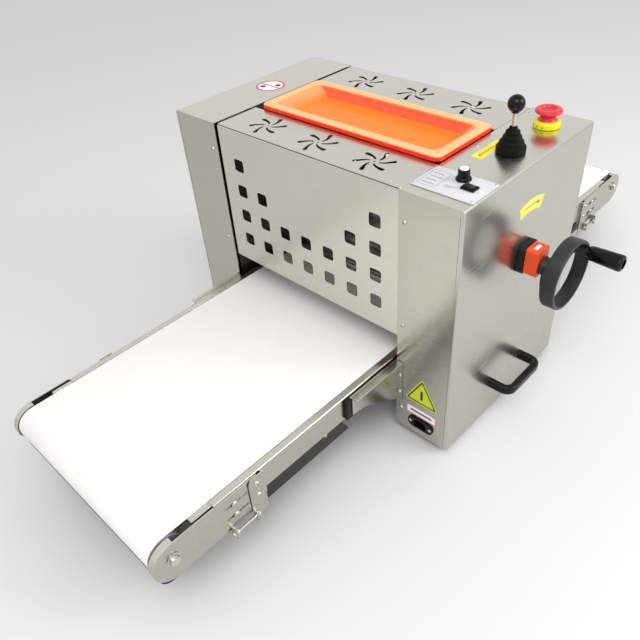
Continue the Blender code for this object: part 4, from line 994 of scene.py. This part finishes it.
def emergency_stop():
    at = (*STOP, TOP)
    collar = [(0.0142, 0.0105), (0.0172, 0.0105), (0.0203, 0.0075), (0.0206, 0.0003), (0.0142, 0.0003)]
    collar = turned(rounded([*collar, (0.0142, 0.0105)], 0.0012)[:-1], at, steps=64)
    fixed("emergency_stop_collar_cone", collar, YELLOW, "emergency_stop_collar", 50)
    dots = []
    for i in range(4):
        a = math.radians(-160 + 26 * i)
        slope = Vector((math.cos(a), math.sin(a), 0.04)).normalized()
        spot = Vector(at) + Vector((math.cos(a) * 0.02055, math.sin(a) * 0.02055, 0.0040))
        dots.append(placed(prism(rectangle((-0.0014, -0.0006), (0.0014, 0.0006), 0.0004), -0.0002, 0.0002),
                           spot, slope))
    fixed("emergency_stop_collar_marks", dots, FILM_BLACK)
    stem = [(0, 0.0165), (0.0118, 0.0165), (0.0118, 0.0130), (0.0137, 0.0110), (0.0137, 0.0085),
            (0.0090, 0.0085), (0.0090, 0.0060), (0, 0.0060)]
    piece("emergency_stop_stem_body", turned(rounded(stem, 0.0006), at, steps=56), RED,
          "emergency_stop_stem", "emergency_stop_stem", 50)
    head = [(0, 0.0250), (0.0105, 0.0250), (0.0116, 0.0274), (0.0130, 0.0282), (0.0178, 0.0278),
            (0.0200, 0.0262)]
    head += [(0.0206, 0.0243), (0.0202, 0.0224), (0.0150, 0.0196), (0.0128, 0.0176), (0.0122, 0.0168),
             (0, 0.0168)]
    head = turned(rounded(head, 0.0012), at, steps=64)
    piece("emergency_stop_head_mushroom", head, RED, "emergency_stop_head", "emergency_stop_head", 60)
    disc = turned(rounded([(0, 0.0258), (0.0088, 0.0258), (0.0094, 0.0252), (0.0094, 0.0248), (0, 0.0248)],
                          0.0004), at)
    piece("emergency_stop_head_centre", disc, RED_DEEP, "emergency_stop_head")


def position_indicator():
    """Backing collar and counter housing with a small reading window."""
    y, z = WHEEL_Y, WHEEL_Z
    bore = arc((y, z), 0.0063, 0, 345, 23)
    outline = rectangle((y - 0.021, z - 0.0185), (y + 0.021, z + 0.0300), 0.010, 10)
    fixed("indicator_collar_pad", prism([outline, bore], HALF_WIDTH + 0.0003, 0.3105, "YZ", 0.0009, 3),
          SATIN, "indicator_collar")
    outline = rectangle((y - 0.0165, z - 0.0165), (y + 0.0165, z + 0.0280), 0.0042, 6)
    case = prism([outline, bore], 0.3108, 0.3325, "YZ", 0.0011, 3)
    top = z + 0.0280
    case = carve(case, block((0.3150, y - 0.0085, top - 0.0016), (0.3270, y + 0.0085, top + 0.01)))
    weighted(fixed("position_indicator_case", case, COUNTER, "position_indicator"))
    drums = []
    for i in range(4):
        a = y - 0.0078 + i * 0.0040
        drum = turned(rounded([(0, 0.0036), (0.0052, 0.0036), (0.0052, 0), (0, 0)], 0.0003),
                      (0.321, a, top - 0.0056), "Y", 40)
        drums.append(drum)
    fixed("position_indicator_drums", drums, CAP)
    frame_lines = [block((0.3148, y - 0.0087, top - 0.0004), (0.3153, y + 0.0087, top + 0.0002))]
    frame_lines.append(block((0.3267, y - 0.0087, top - 0.0004), (0.3272, y + 0.0087, top + 0.0002)))
    fixed("position_indicator_window_edge", frame_lines, INK)


def handwheel():
    """Wheel with a rounded rim, a dished hub and two waisted spokes."""
    at = (0, WHEEL_Y, WHEEL_Z)
    rim = [(0.0500, 0.3805), (0.0538, 0.3805), (0.0550, 0.3790), (0.0550, 0.3600), (0.0540, 0.3582),
           (0.0516, 0.3578)]
    rim += [(0.0500, 0.3590)]
    rim = turned(rounded([*rim, (0.0500, 0.3805)], 0.0012, 3)[:-1], at, "X", 96)
    hub = [(0, 0.3535), (0.0090, 0.3535), (0.0118, 0.3515), (0.0135, 0.3460), (0.0150, 0.3335),
           (0.0063, 0.3335)]
    hub = turned(rounded([*hub, (0.0063, 0.3505), (0, 0.3505)], 0.0012), at, "X", 56)
    meshes = [rim, hub]
    stations = ((0.000, 0.3440, 0.0105, 0.0046), (0.012, 0.3445, 0.0100, 0.0046),
                (0.022, 0.3470, 0.0088, 0.0040))
    stations += ((0.032, 0.3505, 0.0086, 0.0037), (0.042, 0.3560, 0.0096, 0.0038),
                 (0.0518, 0.3650, 0.0120, 0.0044))
    for start in (GRIP_ANGLE, GRIP_ANGLE + math.pi):
        out = Vector((0, math.cos(start), math.sin(start)))
        side = Vector((0, -out.z, out.y))
        loops = []
        for reach, x, half, thick in stations:
            middle = Vector((x, WHEEL_Y, WHEEL_Z)) + out * reach
            ring = rectangle((-half, -thick), (half, thick), min(thick, half) * 0.8, 5)
            loops.append([middle + side * a + Vector((b, 0, 0)) for a, b in ring])
        meshes.append(loft(loops))
    boss = rounded([(0, 0.3808), (0.0072, 0.3808), (0.0082, 0.3796), (0.0082, 0.3600), (0, 0.3600)], 0.0008)
    meshes.append(turned(boss, (0, *GRIP), "X", 40))
    piece("handwheel_casting", meshes, GREY, "handwheel", "handwheel", 50)
    start, length = 0.3812, 0.434 - 0.3812
    profile = [(0.0090, 0.0), (0.0100, 0.0006), (0.0112, 0.006)]
    body = [(0.0112 + 0.0016 * t, 0.006 + (length - 0.0115) * t)
            for t in (0.15, 0.3, 0.45, 0.6, 0.75, 0.9, 1.0)]
    profile = [(0, length), (0.0086, length), (0.0112, length - 0.0010), (0.0126, length - 0.0030),
               *body[::-1], *profile[::-1], (0, 0)]

    def flutes(angle, height):
        return 1 - 0.035 * max(0.0, math.cos(10 * angle)) ** 2 if 0.005 < height < length - 0.004 else 1.0

    piece("wheel_grip_handle", turned(profile, (start, *GRIP), "X", 120, flutes), BLACK, "wheel_grip",
          "wheel_grip", 60)
    cap = turned(rounded([(0, 0.0005), (0.0078, 0.0005), (0.0082, 0), (0, 0)], 0.0002), (0.4335, *GRIP),
                 "X", 40)
    piece("wheel_grip_end_cap", cap, INK, "wheel_grip")


def side_handle():
    """Bow handle bent from one rounded bar."""
    x0, x1, half, bend = HALF_WIDTH + 0.0003, 0.337, 0.047, 0.014
    path = [(x0, -half)]
    for a in [math.pi / 2 * i / 10 for i in range(11)]:
        path.append((x1 - bend + bend * math.sin(a), -half + bend - bend * math.cos(a)))
    path += [(x, -y) for x, y in path[::-1]]
    section = rectangle((-0.006, -0.0085), (0.006, 0.0085), 0.0045, 5)
    bar = swept([(x, y, HANDLE_Z) for x, y in path], section)
    fixed("side_handle_bow", bar, BLACK, "side_handle", 50)


def power_inlet():
    x, z = INLET
    front = -HALF_DEPTH
    key = [(-0.0120, -0.0082), (0.0120, -0.0082), (0.0120, 0.0040), (0.0080, 0.0082), (-0.0080, 0.0082),
           (-0.0120, 0.0040)]
    key = [(x + a, z + b) for a, b in key]
    outline = rectangle((x - 0.0250, z - 0.0115), (x + 0.0250, z + 0.0115), 0.0098, 8)
    holes = [arc((x + a, z), 0.0016, 0, 330, 11) for a in (-0.0198, 0.0198)]
    flange = prism([outline, key, *holes], front - 0.0028, front - 0.0003, "XZ", 0.0006, 2)
    shroud = prism([rectangle((x - 0.0140, z - 0.0100), (x + 0.0140, z + 0.0100)), key], front - 0.0008,
                   front + 0.0165, "XZ")
    back = block((x - 0.0140, front + 0.0165, z - 0.0100), (x + 0.0140, front + 0.0200, z + 0.0100))
    fixed("power_inlet_body", [flange, shroud, back], BLACK, "power_inlet")
    blades = [block((x + a - 0.001, front + 0.0065, z + b - 0.002),
                    (x + a + 0.001, front + 0.0170, z + b + 0.002), 0.0003)
              for a, b in ((-0.007, -0.002), (0.007, -0.002), (0, 0.002))]
    head = turned(rounded([(0, 0.0010), (0.0018, 0.0009), (0.0031, 0.0002), (0.0032, 0), (0, 0)], 0.0004),
                  steps=24)
    blades += [placed(head, (x + a, front - 0.0028, z), "-Y") for a in (-0.0198, 0.0198)]
    fixed("power_inlet_metal", blades, BOLT)


# --- Stickers: plain generic shapes ---

FRONT, SIDE, ROOF = ("XZ", -HALF_DEPTH, -1), ("YZ", HALF_WIDTH, 1), ("XY", TOP, 1)


def film(name, outlines, face, material, level=0, thick=0.00012):
    """Thin printed layer on one face of the covers; level 1 lies on level 0."""
    plane, place, way = face
    low = place + way * thick * level
    high = place + way * thick * (level + 1)
    fixed(name, prism(outlines, *sorted((low, high)), plane), material)


def triangle(centre, size, corner):
    points = []
    for k in range(3):
        a = math.radians(90 + 120 * k)
        c = (centre[0] + (size - 2 * corner) * math.cos(a), centre[1] + (size - 2 * corner) * math.sin(a))
        points += arc(c, corner, 90 + 120 * k - 60, 90 + 120 * k + 60, 8)
    return points


def stickers():
    mark = (0.2485, FOOT + 0.0925)
    film("hazard_film", triangle(mark, 0.0385, 0.0030), FRONT, FILM_LIME)
    film("hazard_border", [triangle(mark, 0.0345, 0.0018), triangle(mark, 0.0295, 0.0010)], FRONT,
         FILM_BLACK, 1)
    bar = rectangle((mark[0] - 0.0024, mark[1] - 0.0085), (mark[0] + 0.0024, mark[1] + 0.0125), 0.0020)
    film("hazard_bar", bar, FRONT, FILM_BLACK, 1)
    low, high = (0.2195, FOOT + 0.0425), (0.2785, FOOT + 0.0610)
    film("inlet_label", rectangle(low, high, 0.0006), FRONT, FILM_WHITE)
    inset = 0.0011
    inner = rectangle((low[0] + inset, low[1] + inset), (high[0] - inset, high[1] - inset), 0.0003)
    edge = [rectangle(low, high, 0.0006), inner]
    film("inlet_label_border", edge, FRONT, FILM_RED, 1)
    strip = rectangle((low[0] + 0.008, FOOT + 0.0500), (high[0] - 0.008, FOOT + 0.0535), 0.0015)
    film("inlet_label_strip", strip, FRONT, FILM_BLACK, 1)
    centre = (WHEEL_Y, WHEEL_Z)
    band = arc(centre, 0.1010, 67, 108, 18) + arc(centre, 0.0800, 108, 67, 18)
    film("turn_arrow_film", band, SIDE, FILM_PALE)
    shaft = arc(centre, 0.0912, 76, 100, 14) + arc(centre, 0.0898, 100, 76, 14)
    film("turn_arrow_line", shaft, SIDE, FILM_RED, 1)
    a = math.radians(73)
    tip = [(centre[0] + 0.0905 * math.cos(a), centre[1] + 0.0905 * math.sin(a))]
    for radius in (0.0945, 0.0865):
        b = math.radians(77)
        tip.append((centre[0] + radius * math.cos(b), centre[1] + radius * math.sin(b)))
    film("turn_arrow_head", tip, SIDE, FILM_RED, 1)
    x0, x1, y0, y1 = 0.2175, 0.2355, -0.036, 0.031
    m = (x0 + x1) / 2
    film("belt_arrow_film", rectangle((x0, y0), (x1, y1), 0.003), ROOF, FILM_YELLOW)
    arrow = [(m, y0 + 0.005), (m + 0.0035, y0 + 0.013), (m + 0.0008, y0 + 0.013), (m + 0.0008, y1 - 0.013)]
    arrow += [(m + 0.0035, y1 - 0.013), (m, y1 - 0.005), (m - 0.0035, y1 - 0.013), (m - 0.0008, y1 - 0.013)]
    arrow += [(m - 0.0008, y0 + 0.013), (m - 0.0035, y0 + 0.013)]
    film("belt_arrow_print", arrow, ROOF, FILM_RED, 1)
    disc = (-0.245, 0.004)
    film("round_film", arc(disc, 0.0275, 0, 352.5, 47), ROOF, FILM_WHITE)
    ring = [arc(disc, 0.0275, 0, 352.5, 47), arc(disc, 0.0232, 0, 352.5, 47)]
    film("round_ring", ring, ROOF, FILM_RED, 1)
    film("round_bar", rectangle((disc[0] - 0.0232, disc[1] - 0.0017), (disc[0] + 0.0232, disc[1] + 0.0017)),
         ROOF, FILM_RED, 1)
    for i, x in enumerate((-0.010, 0.010)):
        dot = (disc[0] + x, disc[1] + 0.0098 * (1 if i else -1))
        film(f"round_dot_{i}", arc(dot, 0.0056, 0, 337.5, 15), ROOF, FILM_BLACK, 1)


# --- Nodes that keep their CAD shape ---


def repaint():
    looks = {
        "right_frame": STEEL_INNER_SHADE, "left_frame": STEEL_INNER_SHADE, "base_tie": STEEL_INNER_SHADE, "gear_motor": MOTOR,
        "drive_chain": CHAIN, "right_carriage_block": SATIN, "left_carriage_block": SATIN,
        "lower_roll": GROUND,
        "upper_roll": GROUND, "front_upper_scraper": GROUND, "rear_upper_scraper": GROUND,
        "adjusting_shaft": GROUND,
        "right_lift_screw": GROUND, "left_lift_screw": GROUND, "front_drive_drum": ROLLER,
        "rear_drive_drum": ROLLER,
    }
    for name, node in NODES.items():
        look = looks.get(name, FOOT_RUBBER if name.endswith("_foot") else None)
        if look:
            node.data.materials.clear()
            node.data.materials.append(look)


# --- Studio ---


def camera():
    data = bpy.data.cameras.new("camera")
    data.lens = 36.544
    data.sensor_width = 36.0
    forward = Vector((-0.56704, 0.53557, -0.62580)).normalized()
    level = forward.cross(Vector((0, 0, 1))).normalized()
    roll = math.radians(-4.84)
    right = (math.cos(roll) * level + math.sin(roll) * level.cross(forward)).normalized()
    up = right.cross(forward)
    obj = bpy.data.objects.new("camera", data)
    turn = Matrix((right, up, -forward)).transposed().to_4x4()
    obj.matrix_world = Matrix.Translation((0.61272, -0.79384, 0.87801)) @ turn
    bpy.context.scene.collection.objects.link(obj)
    bpy.context.scene.camera = obj


def area(name, place, target, size, power):
    data = bpy.data.lights.new(name, "AREA")
    data.shape = "RECTANGLE"
    data.size, data.size_y = size
    data.energy = power
    obj = bpy.data.objects.new(name, data)
    obj.location = place
    obj.rotation_euler = (Vector(target) - Vector(place)).to_track_quat("-Z", "Y").to_euler()
    bpy.context.scene.collection.objects.link(obj)


def studio():
    work = bmesh.new()
    bmesh.ops.create_grid(work, x_segments=1, y_segments=1, size=6)
    mesh = to_mesh(work)
    floor = bpy.data.objects.new("floor", mesh)
    floor.location.z = -0.0002
    look = Shader("pale_floor", (0.66, 0.66, 0.655), 0.7)
    mesh.materials.append(look.made)
    bpy.context.scene.collection.objects.link(floor)
    world = bpy.data.worlds.new("studio")
    world.use_nodes = True
    back = world.node_tree.nodes["Background"]
    back.inputs["Color"].default_value = (1.0, 0.995, 0.985, 1)
    back.inputs["Strength"].default_value = 0.88
    bpy.context.scene.world = world
    area("key", (0.9, -1.3, 2.3), (0.1, -0.3, 0.1), (1.8, 1.4), 30)
    area("right_floor", (1.9, 0.9, 1.5), (0.9, 0.5, 0.0), (1.2, 1.2), 26)
    bpy.context.scene.view_settings.view_transform = "Standard"


# --- Assembly ---

cabinet("right_cabinet", RIGHT_IN, HALF_WIDTH)
cabinet("left_cabinet", LEFT_IN, -HALF_WIDTH)
cover_screws()
for side in (-1, 1):
    guard(side)
    belt(side)
    table_frame(side)
    end_roller(side)
    under_tray(side)
    for way in (-1, 1):
        end_plate(side, way)
        bracket(side, way)
        slide_block(side, way)
flour_tray()
control_plate()
speed_knob()
rocker_switch()
joystick()
emergency_stop()
position_indicator()
handwheel()
side_handle()
power_inlet()
stickers()
repaint()
camera()
studio()

bpy.context.view_layer.update()
